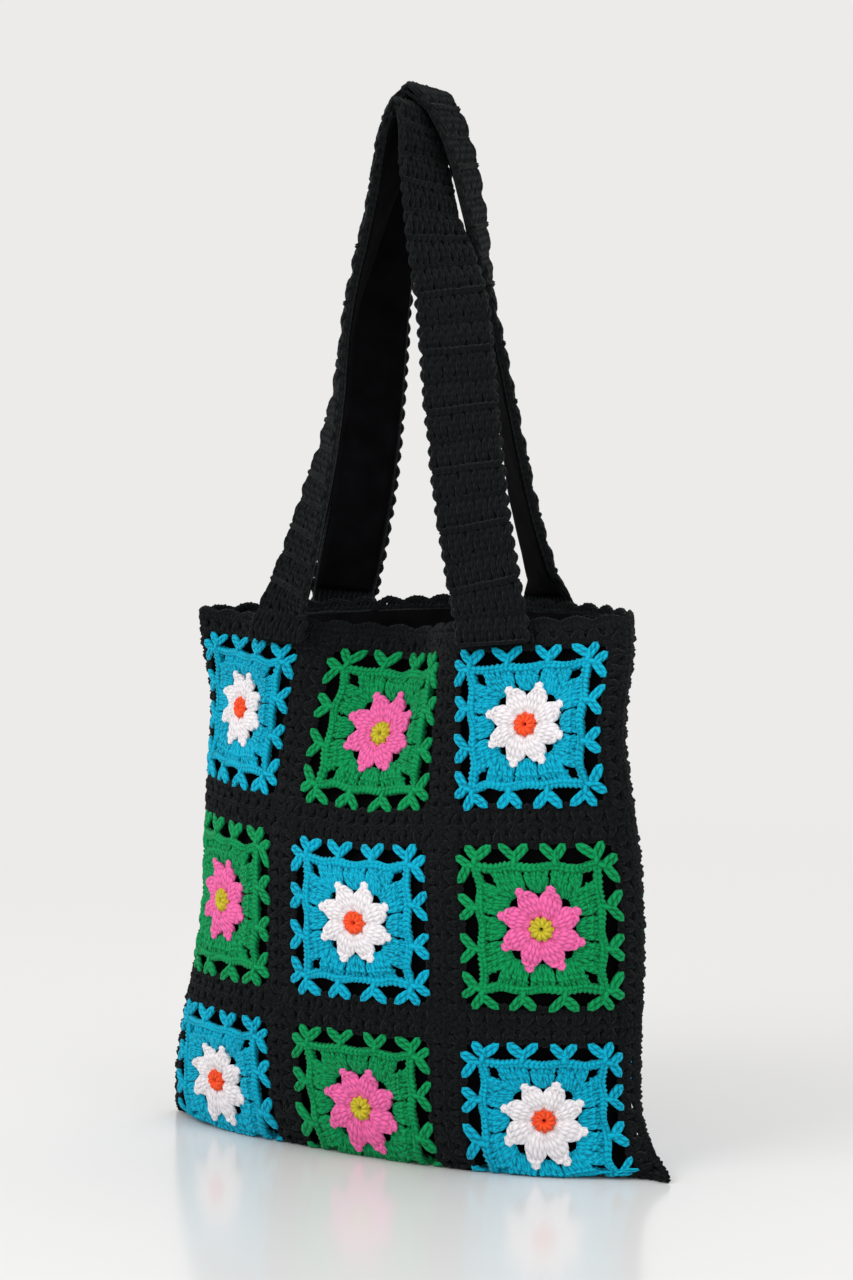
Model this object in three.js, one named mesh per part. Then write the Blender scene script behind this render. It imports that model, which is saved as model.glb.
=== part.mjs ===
import * as THREE from 'three';

// A crochet tote of eighteen flower squares, nine on each panel, with two lined shoulder straps.
// Millimetres. X runs across the bag, the front panel faces -Y, and +Z is up from the floor.

// Squares and panels
const SQUARES_ACROSS = 3;
const SQUARES_UP = 3;
const PITCH = 115;            // from one square's middle to the next
const SIDE_SEAM = 4;          // black seam row down each side
const TOP_EDGING = 6;         // scalloped row above the top squares
const CROCHET = 3.2;          // thickness of the crocheted wall
const FLOWER_RISE = 2.2;      // how far the petals stand proud of the wall
const CLEARANCE = 0.4;        // between pieces that touch

// One square, measured from its own middle
const BORDER = 10;            // black border round the pickets
const PICKETS_PER_SIDE = 4;
const PICKET_LENGTH = 10.5;
const CORNER_HOLE = 29.3;     // middle of a corner hole, along both sides
const CORNER_HOLE_RADIUS = 3.2;
const PETALS = 8;
const PETAL_TIP = 26;
const PETAL_NOTCH = 20.5;
const PETAL_CROWN = 15;
const FLOWER_CENTRE = 6.6;
const CENTRE_DIMPLE = 1.2;

// Lining of the bag
const LINING = 1;
const LINING_SLACK = 2.9;     // the lining hangs this far inside the crochet

// Straps
const STRAP_WIDTH = 43;
const STRAP_THICKNESS = 5;
const FRONT_SPACING = 179;    // between the middles of the front strap's two ends, along the panel
const FRONT_OFFSET = 6;       // those ends are sewn on this far right of the panel's middle
const BACK_SPACING = 149;     // the same for the back strap, which hangs narrower
const BACK_OFFSET = -8.5;
const STRAP_RISE = 312;       // from the top edge to the strap's crown
const STRAP_TAB = 14;         // length sewn flat on the panel
const STRAP_SEAT = 1.3;       // stitches between the panel and the sewn end
const CROWN_LEAN = 7.5;       // the crowns stand this far right of the bag's middle
const CROWN_DEPTH = 6.5;      // half the distance between the two crowns, front to back
const CROWN_GAP = 5;          // between the front strap and the lining of the back strap above it
const STRAP_LINING = 1;
const STRAP_LINING_MARGIN = 4;

const PANEL_WIDTH = SQUARES_ACROSS * PITCH + 2 * SIDE_SEAM;
const PANEL_HEIGHT = SQUARES_UP * PITCH + TOP_EDGING;
const HALF_WIDTH = PANEL_WIDTH / 2;
const SQUARE_HALF = PITCH / 2 - BORDER;

// Rows with their columns' names
function table(columns, rows) {
  return rows.map((row) => Object.fromEntries(columns.map((column, i) => [column, row[i]])));
}

// Level sections of the standing bag, one row for each height on the panel. up, middle, back and
// seam are shares of the panel height: the place on the cloth and the heights above the floor of
// the front's middle, the back's middle and the side seams. left and right are the angles, in
// degrees, by which the front has turned inwards at its edges, or outwards where they are
// negative, dent is the inward fold at its middle, turn and shift (a share of the panel width)
// set the section on the floor plan, and ease is the power by which the height changes from the
// middle to the seam.
const SECTIONS = table(['up', 'middle', 'back', 'seam', 'left', 'right', 'dent', 'turn', 'shift', 'ease'], [
  [0.00, 0.00, 0.00, 0.00, 0, 0, 0, 0, 0.00, 7],
  [0.07, 0.00, 0.00, 0.04, 15, 35, 0, 3, -0.01, 6],
  [0.16, 0.09, 0.09, 0.10, 30, 60, 0, 5, -0.02, 2],
  [0.50, 0.42, 0.42, 0.43, 60, 50, -5, 0, 0.01, 1],
  [0.80, 0.70, 0.72, 0.75, 30, 0, 15, -10, -0.01, 1],
  [1.00, 0.90, 0.95, 0.93, -20, 20, 50, 0, -0.01, 1],
]);
const BEND_POWER = 1.64;      // how late the turn comes, from the middle of a panel to its edge
const FOLD_POWER = 20;        // how sharply a panel folds over at the side seam
const FOLD_START = 0.085;     // share of the height over which the side fold opens
const DENT_WAVES = 1.1;

// The straps, one row for each height. rise is the share of the way up to the crown, left and
// right the shares of the way out from the crown to the end of that leg, depth the share of the
// way out to the panel, and the last two columns are the turn of each leg's band in degrees, from
// facing the way the panel faces to facing outwards over the arch.
const STRAP_COLUMNS = ['rise', 'left', 'right', 'depth', 'leftTurn', 'rightTurn'];
const FRONT_ROWS = table(STRAP_COLUMNS, [
  [0.00, 1.00, 1.00, 1.00, 20, 15],
  [0.20, 0.75, 0.80, 0.85, 35, 20],
  [0.40, 0.55, 0.65, 0.70, 50, 25],
  [0.60, 0.45, 0.50, 0.50, 60, 40],
  [0.80, 0.25, 0.20, 0.25, 70, 75],
  [0.90, 0.15, 0.10, 0.12, 80, 80],
  [0.95, 0.09, 0.07, 0.08, 85, 85],
  [1.00, 0.00, 0.00, 0.00, 90, 90],
]);
const BACK_ROWS = table(STRAP_COLUMNS, [
  [0.00, 1.00, 1.00, 1.00, 30, 40],
  [0.20, 0.80, 0.75, 0.85, 30, 45],
  [0.40, 0.65, 0.60, 0.70, 45, 50],
  [0.60, 0.50, 0.50, 0.50, 60, 60],
  [0.80, 0.30, 0.40, 0.25, 75, 75],
  [0.90, 0.20, 0.30, 0.12, 80, 80],
  [0.95, 0.14, 0.20, 0.06, 85, 85],
  [1.00, 0.00, 0.00, 0.00, 90, 90],
]);

const INTEGRATION_STEPS = 160;
const WIDEST_ANGLE = 112.5;   // the most that the back panel turns at its edges, in degrees
const HALVINGS = 30;
const SLOPE_STEP = 0.05;      // between the points that give the wall's slope
const RADIAN = Math.PI / 180;

// Materials, one for each yarn or cloth
function yarn(colour, roughness = 0.9) {
  return new THREE.MeshStandardMaterial({ color: new THREE.Color(colour), roughness, metalness: 0 });
}

const MATERIALS = {
  turquoise: yarn('#00acca'),
  green: yarn('#08965a'),
  white: yarn('#f0ebee'),
  pink: yarn('#f56eaf'),
  orange: yarn('#ff5f32'),
  olive: yarn('#cdbe32'),
  black: yarn('#161b1d'),
  lining: yarn('#0c0c0e', 0.6),
};

// Smooth, monotone interpolation through the rows of a table
function throughRows(rows, key, column) {
  const x = rows.map((row) => row[key]);
  const y = rows.map((row) => row[column]);
  const last = x.length - 1;
  const slopes = x.slice(1).map((value, i) => (y[i + 1] - y[i]) / (value - x[i]));
  const tangents = x.map((value, i) => {
    if (i === 0) return slopes[0];
    if (i === last) return slopes[last - 1];
    if (slopes[i - 1] * slopes[i] <= 0) return 0;
    return 2 * slopes[i - 1] * slopes[i] / (slopes[i - 1] + slopes[i]);
  });
  return (at) => {
    let i = 0;
    while (i < last - 1 && at > x[i + 1]) i += 1;
    const width = x[i + 1] - x[i];
    const t = Math.min(1, Math.max(0, (at - x[i]) / width));
    const t2 = t * t;
    const t3 = t2 * t;
    return (2 * t3 - 3 * t2 + 1) * y[i] + (t3 - 2 * t2 + t) * width * tangents[i]
      + (3 * t2 - 2 * t3) * y[i + 1] + (t3 - t2) * width * tangents[i + 1];
  };
}

const sectionColumn = {};
for (const column of ['middle', 'back', 'seam', 'left', 'right', 'dent', 'turn', 'shift', 'ease']) {
  sectionColumn[column] = throughRows(SECTIONS, 'up', column);
}

// Half a section from the panel's middle to its edge: its cloth keeps its length and turns by
// angle, less the dent, and folds over to ninety degrees at the seam.
function arm(angle, dent, fold) {
  const points = [[0, 0]];
  let x = 0;
  let y = 0;
  for (let i = 0; i < INTEGRATION_STEPS; i += 1) {
    const t = (i + 0.5) / INTEGRATION_STEPS;
    const turned = angle * t ** BEND_POWER
      - dent * Math.sin(2 * Math.PI * DENT_WAVES * t) * (1 - t * t)
      + (Math.PI / 2 - angle) * fold * t ** FOLD_POWER;
    x += Math.cos(turned) * HALF_WIDTH / INTEGRATION_STEPS;
    y += Math.sin(turned) * HALF_WIDTH / INTEGRATION_STEPS;
    points.push([x, y]);
  }
  return points;
}

function alongArm(points, t) {
  const place = Math.min(1, t) * INTEGRATION_STEPS;
  const i = Math.min(INTEGRATION_STEPS - 1, Math.floor(place));
  const rest = place - i;
  return [0, 1].map((axis) => points[i][axis] * (1 - rest) + points[i + 1][axis] * rest);
}

// The back panel has the front's chord between the seams, so its edge angle follows from it. The
// wider the angle, the shorter the chord, so halving the range finds it.
function angleForChord(chord, fold) {
  let low = 0;
  let high = WIDEST_ANGLE * RADIAN;
  for (let i = 0; i < HALVINGS; i += 1) {
    const angle = (low + high) / 2;
    const reach = arm(angle, 0, fold)[INTEGRATION_STEPS][0];
    if (2 * reach > chord) low = angle;
    else high = angle;
  }
  return (low + high) / 2;
}

const sectionCache = new Map();
function section(v) {
  const key = v.toFixed(4);
  if (sectionCache.has(key)) return sectionCache.get(key);
  const up = v / PANEL_HEIGHT;
  const opened = Math.min(1, up / FOLD_START);
  const fold = opened * opened * (3 - 2 * opened);
  const dent = sectionColumn.dent(up) * RADIAN;
  const right = arm(sectionColumn.right(up) * RADIAN, dent, fold);
  const left = arm(sectionColumn.left(up) * RADIAN, dent, fold);
  const [rightX, rightY] = right[INTEGRATION_STEPS];
  const [leftX, leftY] = left[INTEGRATION_STEPS];
  const chord = Math.hypot(rightX + leftX, rightY - leftY);
  const back = arm(angleForChord(chord, fold), 0, fold);
  const made = {
    up,
    right,
    left,
    back,
    middleX: (rightX - leftX) / 2,
    middleY: (rightY + leftY) / 2,
    slope: Math.atan2(rightY - leftY, rightX + leftX),
    turn: sectionColumn.turn(up) * RADIAN,
    shift: sectionColumn.shift(up) * PANEL_WIDTH,
  };
  sectionCache.set(key, made);
  return made;
}

// A point of the bag's outer face. u runs across a panel from its middle, v up from the base
// fold, and side is 1 on the front panel and -1 on the back.
function outerFace(side, u, v) {
  const cut = section(v);
  const t = Math.min(1, Math.abs(u) / HALF_WIDTH);
  let x;
  let y;
  if (side > 0) {
    const [across, inward] = alongArm(u < 0 ? cut.left : cut.right, t);
    const dx = (u < 0 ? -across : across) - cut.middleX;
    const dy = inward - cut.middleY;
    x = dx * Math.cos(cut.slope) + dy * Math.sin(cut.slope);
    y = -dx * Math.sin(cut.slope) + dy * Math.cos(cut.slope);
  } else {
    const [across, inward] = alongArm(cut.back, t);
    x = u < 0 ? -across : across;
    y = cut.back[INTEGRATION_STEPS][1] - inward;
  }
  const middle = sectionColumn[side > 0 ? 'middle' : 'back'](cut.up);
  const seam = sectionColumn.seam(cut.up);
  const z = (middle + (seam - middle) * t ** sectionColumn.ease(cut.up)) * PANEL_HEIGHT;
  return new THREE.Vector3(
    x * Math.cos(cut.turn) - y * Math.sin(cut.turn) + cut.shift,
    x * Math.sin(cut.turn) + y * Math.cos(cut.turn),
    z,
  );
}

function panelNormal(side, u, v) {
  const u0 = Math.max(-HALF_WIDTH, u - SLOPE_STEP);
  const u1 = Math.min(HALF_WIDTH, u + SLOPE_STEP);
  const v0 = Math.max(0, v - SLOPE_STEP);
  const v1 = v + SLOPE_STEP;
  const across = outerFace(side, u1, v).sub(outerFace(side, u0, v));
  const upward = outerFace(side, u, v1).sub(outerFace(side, u, v0));
  return across.cross(upward).multiplyScalar(side).normalize();
}

// The way out of the wall. On the seams and the base fold both panels have a say, and a bottom
// corner points out and down.
function wayOut(side, u, v) {
  const onSeam = Math.abs(u) > HALF_WIDTH - SLOPE_STEP;
  const onFold = v < SLOPE_STEP;
  if (onSeam && onFold) return new THREE.Vector3(Math.sign(u), 0, -1).normalize();
  const normal = panelNormal(side, u, v);
  if (onSeam || onFold) normal.add(panelNormal(-side, u, v)).normalize();
  return normal;
}

// A point at a depth w from the outer face, outwards
function place([side, u, v], w) {
  return outerFace(side, u, v).addScaledVector(wayOut(side, u, v), w);
}

// Triangles between two rings of flat points, both running round the same middle
function band(inner, outer) {
  const sorted = (ring) => ring
    .map((point) => ({ point, angle: Math.atan2(point[1], point[0]) }))
    .sort((a, b) => a.angle - b.angle);
  const a = sorted(inner);
  const b = sorted(outer);
  const angleAt = (ring, i) => ring[i % ring.length].angle + 2 * Math.PI * Math.floor(i / ring.length);
  const pointAt = (ring, i) => ring[i % ring.length].point;
  const triangles = [];
  let i = 0;
  let j = 0;
  while (i < a.length || j < b.length) {
    const nextInner = i < a.length ? angleAt(a, i) + angleAt(a, i + 1) : Infinity;
    const nextOuter = j < b.length ? angleAt(b, j) + angleAt(b, j + 1) : Infinity;
    if (nextInner < nextOuter) {
      triangles.push([pointAt(a, i), pointAt(b, j), pointAt(a, i + 1)]);
      i += 1;
    } else {
      triangles.push([pointAt(a, i), pointAt(b, j), pointAt(b, j + 1)]);
      j += 1;
    }
  }
  return triangles;
}

// Collects triangles into one closed, welded geometry
class Welder {
  constructor() {
    this.points = [];
    this.faces = [];
    this.known = new Map();
  }

  index(point) {
    const key = point.toArray().map((value) => Math.round(value * 1000)).join(' ');
    if (!this.known.has(key)) {
      this.known.set(key, this.points.length);
      this.points.push(point);
    }
    return this.known.get(key);
  }

  triangle(a, b, c) {
    const face = [a, b, c].map((point) => this.index(point));
    if (new Set(face).size === 3) this.faces.push(face);
  }

  quad(a, b, c, d) {
    this.triangle(a, b, c);
    this.triangle(a, c, d);
  }

  geometry() {
    const geometry = new THREE.BufferGeometry();
    const positions = this.points.flatMap((point) => point.toArray());
    geometry.setAttribute('position', new THREE.Float32BufferAttribute(positions, 3));
    geometry.setIndex(this.faces.flat());
    geometry.computeVertexNormals();
    return geometry;
  }
}

// A slab of wall between two depths, from triangles of flat points [side, u, v]. Edges that only
// one triangle has get a wall between the faces.
function slab(flatTriangles, innerDepth, outerDepth) {
  const welder = new Welder();
  const keyOf = (flat) => welder.index(place(flat, outerDepth(flat)));
  const edges = new Map();
  for (const triangle of flatTriangles) {
    const [a, b, c] = triangle[0][0] > 0 ? triangle : [triangle[0], triangle[2], triangle[1]];
    welder.triangle(...[a, b, c].map((flat) => place(flat, outerDepth(flat))));
    welder.triangle(...[a, c, b].map((flat) => place(flat, innerDepth(flat))));
    for (const [from, to] of [[a, b], [b, c], [c, a]]) {
      const key = `${keyOf(from)} ${keyOf(to)}`;
      const reverse = `${keyOf(to)} ${keyOf(from)}`;
      if (edges.has(reverse)) edges.delete(reverse);
      else edges.set(key, [from, to]);
    }
  }
  for (const [from, to] of edges.values()) {
    welder.quad(
      place(to, outerDepth(to)),
      place(from, outerDepth(from)),
      place(from, innerDepth(from)),
      place(to, innerDepth(to)),
    );
  }
  return welder.geometry();
}

// Outlines of a square's parts, as flat points round its middle
function star(points, tip, notch) {
  return Array.from({ length: 2 * points }, (_, i) => {
    const angle = Math.PI * (i + 1) / points;
    const radius = i % 2 ? notch : tip;
    return [radius * Math.cos(angle), radius * Math.sin(angle)];
  });
}

function polygon(points, radius) {
  return Array.from({ length: points }, (_, i) => {
    const angle = 2 * Math.PI * (i + 0.5) / points;
    return [radius * Math.cos(angle), radius * Math.sin(angle)];
  });
}

function quarterTurns(points) {
  return [0, 1, 2, 3].flatMap((turn) => points.map(([x, y]) => {
    const cos = [1, 0, -1, 0][turn];
    const sin = [0, 1, 0, -1][turn];
    return [x * cos - y * sin, x * sin + y * cos];
  }));
}

// The ring through the corner holes, passing each hole on the inner or the outer side
function holeRing(passing) {
  const r = CORNER_HOLE_RADIUS;
  const around = [-45, 45 + 90 * (1 - passing), 135].map((degrees) => [
    CORNER_HOLE + r * Math.cos(degrees * RADIAN),
    CORNER_HOLE + r * Math.sin(degrees * RADIAN),
  ]);
  return quarterTurns([[CORNER_HOLE, 0], ...around]);
}

// Places of the picket tips along one side of a square
const PICKET_STEP = 2 * SQUARE_HALF / PICKETS_PER_SIDE;
const PICKET_PLACES = Array.from(
  { length: PICKETS_PER_SIDE },
  (_, i) => (i + 0.5) * PICKET_STEP - SQUARE_HALF,
);

// Pickets all round: a tip for each, a notch between two, and a notch on each diagonal
function picketRing() {
  const notch = SQUARE_HALF - PICKET_LENGTH;
  const side = [[notch, -notch]];
  PICKET_PLACES.forEach((along, i) => {
    side.push([SQUARE_HALF, along]);
    if (i < PICKETS_PER_SIDE - 1) side.push([notch, along + PICKET_STEP / 2]);
  });
  return quarterTurns(side);
}

// The net's hole round a square, with a corner at each picket's tip
function netHole() {
  return quarterTurns(PICKET_PLACES.map((along) => [SQUARE_HALF + CLEARANCE, along]));
}

function squareTriangles() {
  const flowerHole = star(PETALS, PETAL_TIP + CLEARANCE, PETAL_NOTCH + CLEARANCE);
  return [...band(flowerHole, holeRing(-1)), ...band(holeRing(1), picketRing())];
}

function flowerTriangles() {
  const eye = polygon(PETALS, FLOWER_CENTRE + CLEARANCE);
  const crown = polygon(PETALS, PETAL_CROWN);
  return [...band(eye, crown), ...band(crown, star(PETALS, PETAL_TIP, PETAL_NOTCH))];
}

function centreTriangles() {
  const rim = polygon(PETALS, FLOWER_CENTRE);
  return rim.map((point, i) => [[0, 0], point, rim[(i + 1) % rim.length]]);
}

// The net that joins the squares: one cell round each square, as far as the neighbour, the side
// seam or the scalloped top edge
const NET_PARTS = 4;
const FOLD_PARTS = 6;         // up the bottom row, which bends round the base fold
const SCALLOPS_PER_SQUARE = 6;
const SCALLOP_DEPTH = 2.5;

function netCell(column, row) {
  const half = PITCH / 2;
  const left = column === 0 ? -half - SIDE_SEAM : -half;
  const right = column === SQUARES_ACROSS - 1 ? half + SIDE_SEAM : half;
  const outline = [];
  const run = ([x0, y0], [x1, y1], parts) => {
    for (let i = 0; i < parts; i += 1) {
      outline.push([x0 + (x1 - x0) * i / parts, y0 + (y1 - y0) * i / parts]);
    }
  };
  run([left, -half], [right, -half], NET_PARTS);
  const upParts = row === SQUARES_UP - 1 ? FOLD_PARTS : NET_PARTS;
  run([right, -half], [right, half], upParts);
  if (row === 0) {
    const steps = 2 * SCALLOPS_PER_SQUARE;
    const low = half + TOP_EDGING - SCALLOP_DEPTH;
    outline.push([right, half]);
    for (let i = 0; i < steps; i += 1) {
      outline.push([right + (left - right) * i / steps, low + (i % 2) * SCALLOP_DEPTH]);
    }
    outline.push([left, low]);
  } else {
    run([right, half], [left, half], NET_PARTS);
  }
  run([left, half], [left, -half], upParts);
  return band(netHole(), outline);
}

// Moves flat points from a square's own middle to its place on a panel
function onPanel(triangles, side, column, row) {
  const u = (column - (SQUARES_ACROSS - 1) / 2) * PITCH;
  const v = (SQUARES_UP - 0.5 - row) * PITCH;
  return triangles.map((triangle) => triangle.map(([du, dv]) => [side, u + du, v + dv]));
}

const depth = (value) => () => value;

function mesh(name, geometry, material) {
  const piece = new THREE.Mesh(geometry, material);
  piece.name = name;
  return piece;
}

// The eighteen squares, each with its flower and the flower's centre
function squares(bag) {
  const flatSquare = squareTriangles();
  const flatFlower = flowerTriangles();
  const flatCentre = centreTriangles();
  for (const [panel, side] of [['front', 1], ['back', -1]]) {
    for (let row = 0; row < SQUARES_UP; row += 1) {
      for (let column = 0; column < SQUARES_ACROSS; column += 1) {
        const middle = [
          (column - (SQUARES_ACROSS - 1) / 2) * PITCH,
          (SQUARES_UP - 0.5 - row) * PITCH,
        ];
        const fromMiddle = ([, u, v]) => Math.hypot(u - middle[0], v - middle[1]);
        // low at the petals' rims, highest on their crowns and lower again round the centre
        const petalDepth = (flat) => {
          const r = fromMiddle(flat);
          if (r > (PETAL_NOTCH + PETAL_CROWN) / 2) return FLOWER_RISE / 3;
          return r > (PETAL_CROWN + FLOWER_CENTRE) / 2 ? FLOWER_RISE : FLOWER_RISE / 2;
        };
        const centreDepth = (flat) => (
          fromMiddle(flat) < FLOWER_CENTRE / 2 ? FLOWER_RISE - CENTRE_DIMPLE : FLOWER_RISE
        );
        const blue = (row + column) % 2 === 0;
        const label = `${panel}_%_r${row + 1}c${column + 1}`;
        const put = (flat) => onPanel(flat, side, column, row);
        bag.add(mesh(
          label.replace('%', 'square'),
          slab(put(flatSquare), depth(-CROCHET), depth(0)),
          blue ? MATERIALS.turquoise : MATERIALS.green,
        ));
        bag.add(mesh(
          label.replace('%', 'flower'),
          slab(put(flatFlower), depth(-CROCHET), petalDepth),
          blue ? MATERIALS.white : MATERIALS.pink,
        ));
        bag.add(mesh(
          label.replace('%', 'centre'),
          slab(put(flatCentre), depth(-CROCHET), centreDepth),
          blue ? MATERIALS.orange : MATERIALS.olive,
        ));
      }
    }
  }
}

// The black net round all the squares, over both panels, with its seams and its top edging
function net(bag) {
  const triangles = [];
  for (const side of [1, -1]) {
    for (let row = 0; row < SQUARES_UP; row += 1) {
      for (let column = 0; column < SQUARES_ACROSS; column += 1) {
        triangles.push(...onPanel(netCell(column, row), side, column, row));
      }
    }
  }
  bag.add(mesh('black_net', slab(triangles, depth(-CROCHET), depth(0)), MATERIALS.black));
}

// The lining, a bag of thin cloth inside the crochet, hemmed under the top edging. up is the share
// of the panel height, and slack the share of LINING_SLACK: it cuts the corner at the base fold.
const LINING_ROWS = [
  { up: 0.000, slack: 1.0 },
  { up: 0.058, slack: 1.2 },
  { up: 0.098, slack: 1.6 },
  { up: 0.135, slack: 1.6 },
  { up: 0.175, slack: 1.2 },
  { up: 0.330, slack: 1.0 },
  { up: 0.490, slack: 1.0 },
  { up: 0.660, slack: 1.1 },
  { up: 0.780, slack: 1.2 },
  { up: 0.880, slack: 1.0 },
  { up: 0.975, slack: 1.0 },
];

// Places across the lining, as shares of half the panel's width, then its fold and the side seam
const LINING_ACROSS = [0, 0.11, 0.22, 0.33, 0.44, 0.58, 0.75];

function liningStations() {
  const half = LINING_ACROSS.map((share) => share * HALF_WIDTH);
  half.push(HALF_WIDTH - SIDE_SEAM - BORDER, HALF_WIDTH);
  return [...half.slice(1).reverse().map((u) => -u), ...half];
}

function lining(bag) {
  const stations = liningStations();
  const heights = LINING_ROWS.map((row) => row.up * PANEL_HEIGHT);
  const baseShare = 1 - 2 * SIDE_SEAM / HALF_WIDTH;   // its bottom corners stay out of the crochet's
  const triangles = [];
  for (const side of [1, -1]) {
    for (let j = 0; j < heights.length - 1; j += 1) {
      for (let i = 0; i < stations.length - 1; i += 1) {
        const corner = (di, dj) => [side, stations[i + di] * (j + dj ? 1 : baseShare), heights[j + dj]];
        const [a, b, c, d] = [corner(0, 0), corner(1, 0), corner(1, 1), corner(0, 1)];
        if (stations[i] < 0) triangles.push([a, b, c], [a, c, d]);
        else triangles.push([a, b, d], [b, c, d]);
      }
    }
  }
  const slackAt = ([, , v]) => LINING_ROWS[heights.indexOf(v)].slack * LINING_SLACK;
  const outside = (flat) => -CROCHET - slackAt(flat);
  const inside = (flat) => outside(flat) - LINING;
  bag.add(mesh('bag_lining', slab(triangles, inside, outside), MATERIALS.lining));
}

// The straps, each from its own spacing, offset and rows
const STRAPS = {
  front: { side: 1, spacing: FRONT_SPACING, offset: FRONT_OFFSET, rows: FRONT_ROWS },
  back: { side: -1, spacing: BACK_SPACING, offset: BACK_OFFSET, rows: BACK_ROWS },
};

// Shares of the rise at which a leg has a section
const STRAP_STATIONS = [0.05, 0.12, 0.22, 0.33, 0.45, 0.57, 0.68, 0.77, 0.85, 0.91, 0.95, 0.985];

// Where a strap runs: its middle, the way its outer face looks, and the way to its right edge
function strapFrames({ side, spacing, offset, rows }) {
  const columnOf = (name) => throughRows(rows, 'rise', name);
  const depthAt = columnOf('depth');
  const legs = [-1, 1].map((hand) => ({
    end: place([side, offset + hand * spacing / 2, PANEL_HEIGHT], STRAP_SEAT),
    spreadAt: columnOf(hand < 0 ? 'left' : 'right'),
    turnAt: columnOf(hand < 0 ? 'leftTurn' : 'rightTurn'),
  }));
  const top = PANEL_HEIGHT * sectionColumn.seam(1) + STRAP_RISE;
  const crownZ = side > 0 ? top - STRAP_THICKNESS - STRAP_LINING - CROWN_GAP : top;
  const crown = new THREE.Vector3(CROWN_LEAN, -side * CROWN_DEPTH, crownZ);
  const middleOf = ({ end, spreadAt }, rise) => new THREE.Vector3(
    crown.x + (end.x - crown.x) * spreadAt(rise),
    crown.y + (end.y - crown.y) * depthAt(rise),
    end.z + (crown.z - end.z) * rise,
  );
  const stations = [
    ...STRAP_STATIONS.map((rise) => ({ leg: legs[0], rise })),
    { leg: legs[1], rise: 1 },
    ...[...STRAP_STATIONS].reverse().map((rise) => ({ leg: legs[1], rise })),
  ];
  const middles = stations.map(({ leg, rise }) => middleOf(leg, rise));
  const line = [legs[0].end, ...middles, legs[1].end];
  return stations.map(({ leg, rise }, i) => {
    const tangent = line[i + 2].clone().sub(line[i]).normalize();
    const turn = leg.turnAt(rise) * RADIAN;
    const overArch = new THREE.Vector3(-tangent.z, 0, tangent.x).normalize();
    const out = new THREE.Vector3(0, -side * Math.cos(turn), 0).addScaledVector(overArch, Math.sin(turn));
    out.addScaledVector(tangent, -out.dot(tangent)).normalize();
    return { middle: middles[i], out, across: out.clone().cross(tangent).multiplyScalar(-side) };
  });
}

// A band from rings of section points, closed at both ends. Each ring has the inner face's points
// and then the outer face's back again, and both faces are cut along the same diagonals.
function skin(side, rings) {
  const welder = new Welder();
  const face = (a, b, c) => (side > 0 ? welder.triangle(a, c, b) : welder.triangle(a, b, c));
  const count = rings[0].length;
  const innerCount = Math.ceil(count / 2);
  for (let i = 0; i < rings.length - 1; i += 1) {
    for (let k = 0; k < count; k += 1) {
      const next = (k + 1) % count;
      const [a, b, c, d] = [rings[i][k], rings[i][next], rings[i + 1][next], rings[i + 1][k]];
      if (k < innerCount) {
        face(a, b, c);
        face(a, c, d);
      } else {
        face(a, b, d);
        face(b, c, d);
      }
    }
  }
  const cap = (ring, triangle) => {
    const inner = ring.slice(0, innerCount);
    const outer = ring.slice(innerCount).reverse();
    let i = 0;
    let j = 0;
    while (i < inner.length - 1 || j < outer.length - 1) {
      if ((i + 1) * (outer.length - 1) <= (j + 1) * (inner.length - 1)) {
        triangle(inner[i], outer[j], inner[i + 1]);
        i += 1;
      } else {
        triangle(inner[i], outer[j], outer[j + 1]);
        j += 1;
      }
    }
  };
  cap(rings[0], (a, b, c) => face(a, b, c));
  cap(rings[rings.length - 1], (a, b, c) => face(a, c, b));
  return welder.geometry();
}

function strap(bag, name) {
  const { side, spacing, offset } = STRAPS[name];
  const frames = strapFrames(STRAPS[name]);
  const edge = STRAP_WIDTH / 2;
  const liningEdge = edge - STRAP_LINING_MARGIN;
  const innerColumns = [-edge, -liningEdge, 0, liningEdge, edge];
  const outerColumns = [edge, 0, -edge];
  // A sewn end lies on the panel. The first column is the strap's outer edge on both of its legs.
  const sewnRing = (hand, v) => {
    const flat = (column, w) => place([side, offset + hand * (spacing / 2 - column), v], w);
    return [
      ...innerColumns.map((column) => flat(column, STRAP_SEAT)),
      ...outerColumns.map((column) => flat(column, STRAP_SEAT + STRAP_THICKNESS)),
    ];
  };
  const freeRing = ({ middle, out, across }, columns, low, high, back) => [
    ...columns.map((column) => middle.clone().addScaledVector(across, column).addScaledVector(out, low)),
    ...back.map((column) => middle.clone().addScaledVector(across, column).addScaledVector(out, high)),
  ];
  const tab = [PANEL_HEIGHT - STRAP_TAB, PANEL_HEIGHT];
  const rings = [
    ...tab.map((v) => sewnRing(-1, v)),
    ...frames.map((frame) => freeRing(frame, innerColumns, 0, STRAP_THICKNESS, outerColumns)),
    ...[...tab].reverse().map((v) => sewnRing(1, v)),
  ];
  bag.add(mesh(`strap_${name}`, skin(side, rings), MATERIALS.black));
  const liningColumns = [-liningEdge, 0, liningEdge];
  const liningRings = frames.map((frame) => freeRing(
    frame,
    liningColumns,
    -CLEARANCE - STRAP_LINING,
    -CLEARANCE,
    [...liningColumns].reverse(),
  ));
  bag.add(mesh(`strap_lining_${name}`, skin(side, liningRings), MATERIALS.lining));
}

const bag = new THREE.Group();
bag.name = 'crochet_bag';
squares(bag);
net(bag);
lining(bag);
strap(bag, 'front');
strap(bag, 'back');

// The origin is on the floor, in the middle of the bag's outline
const outline = new THREE.Box3().setFromObject(bag);
const middle = outline.getCenter(new THREE.Vector3());
bag.position.set(-middle.x, -middle.y, -outline.min.z);

export default bag;
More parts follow.
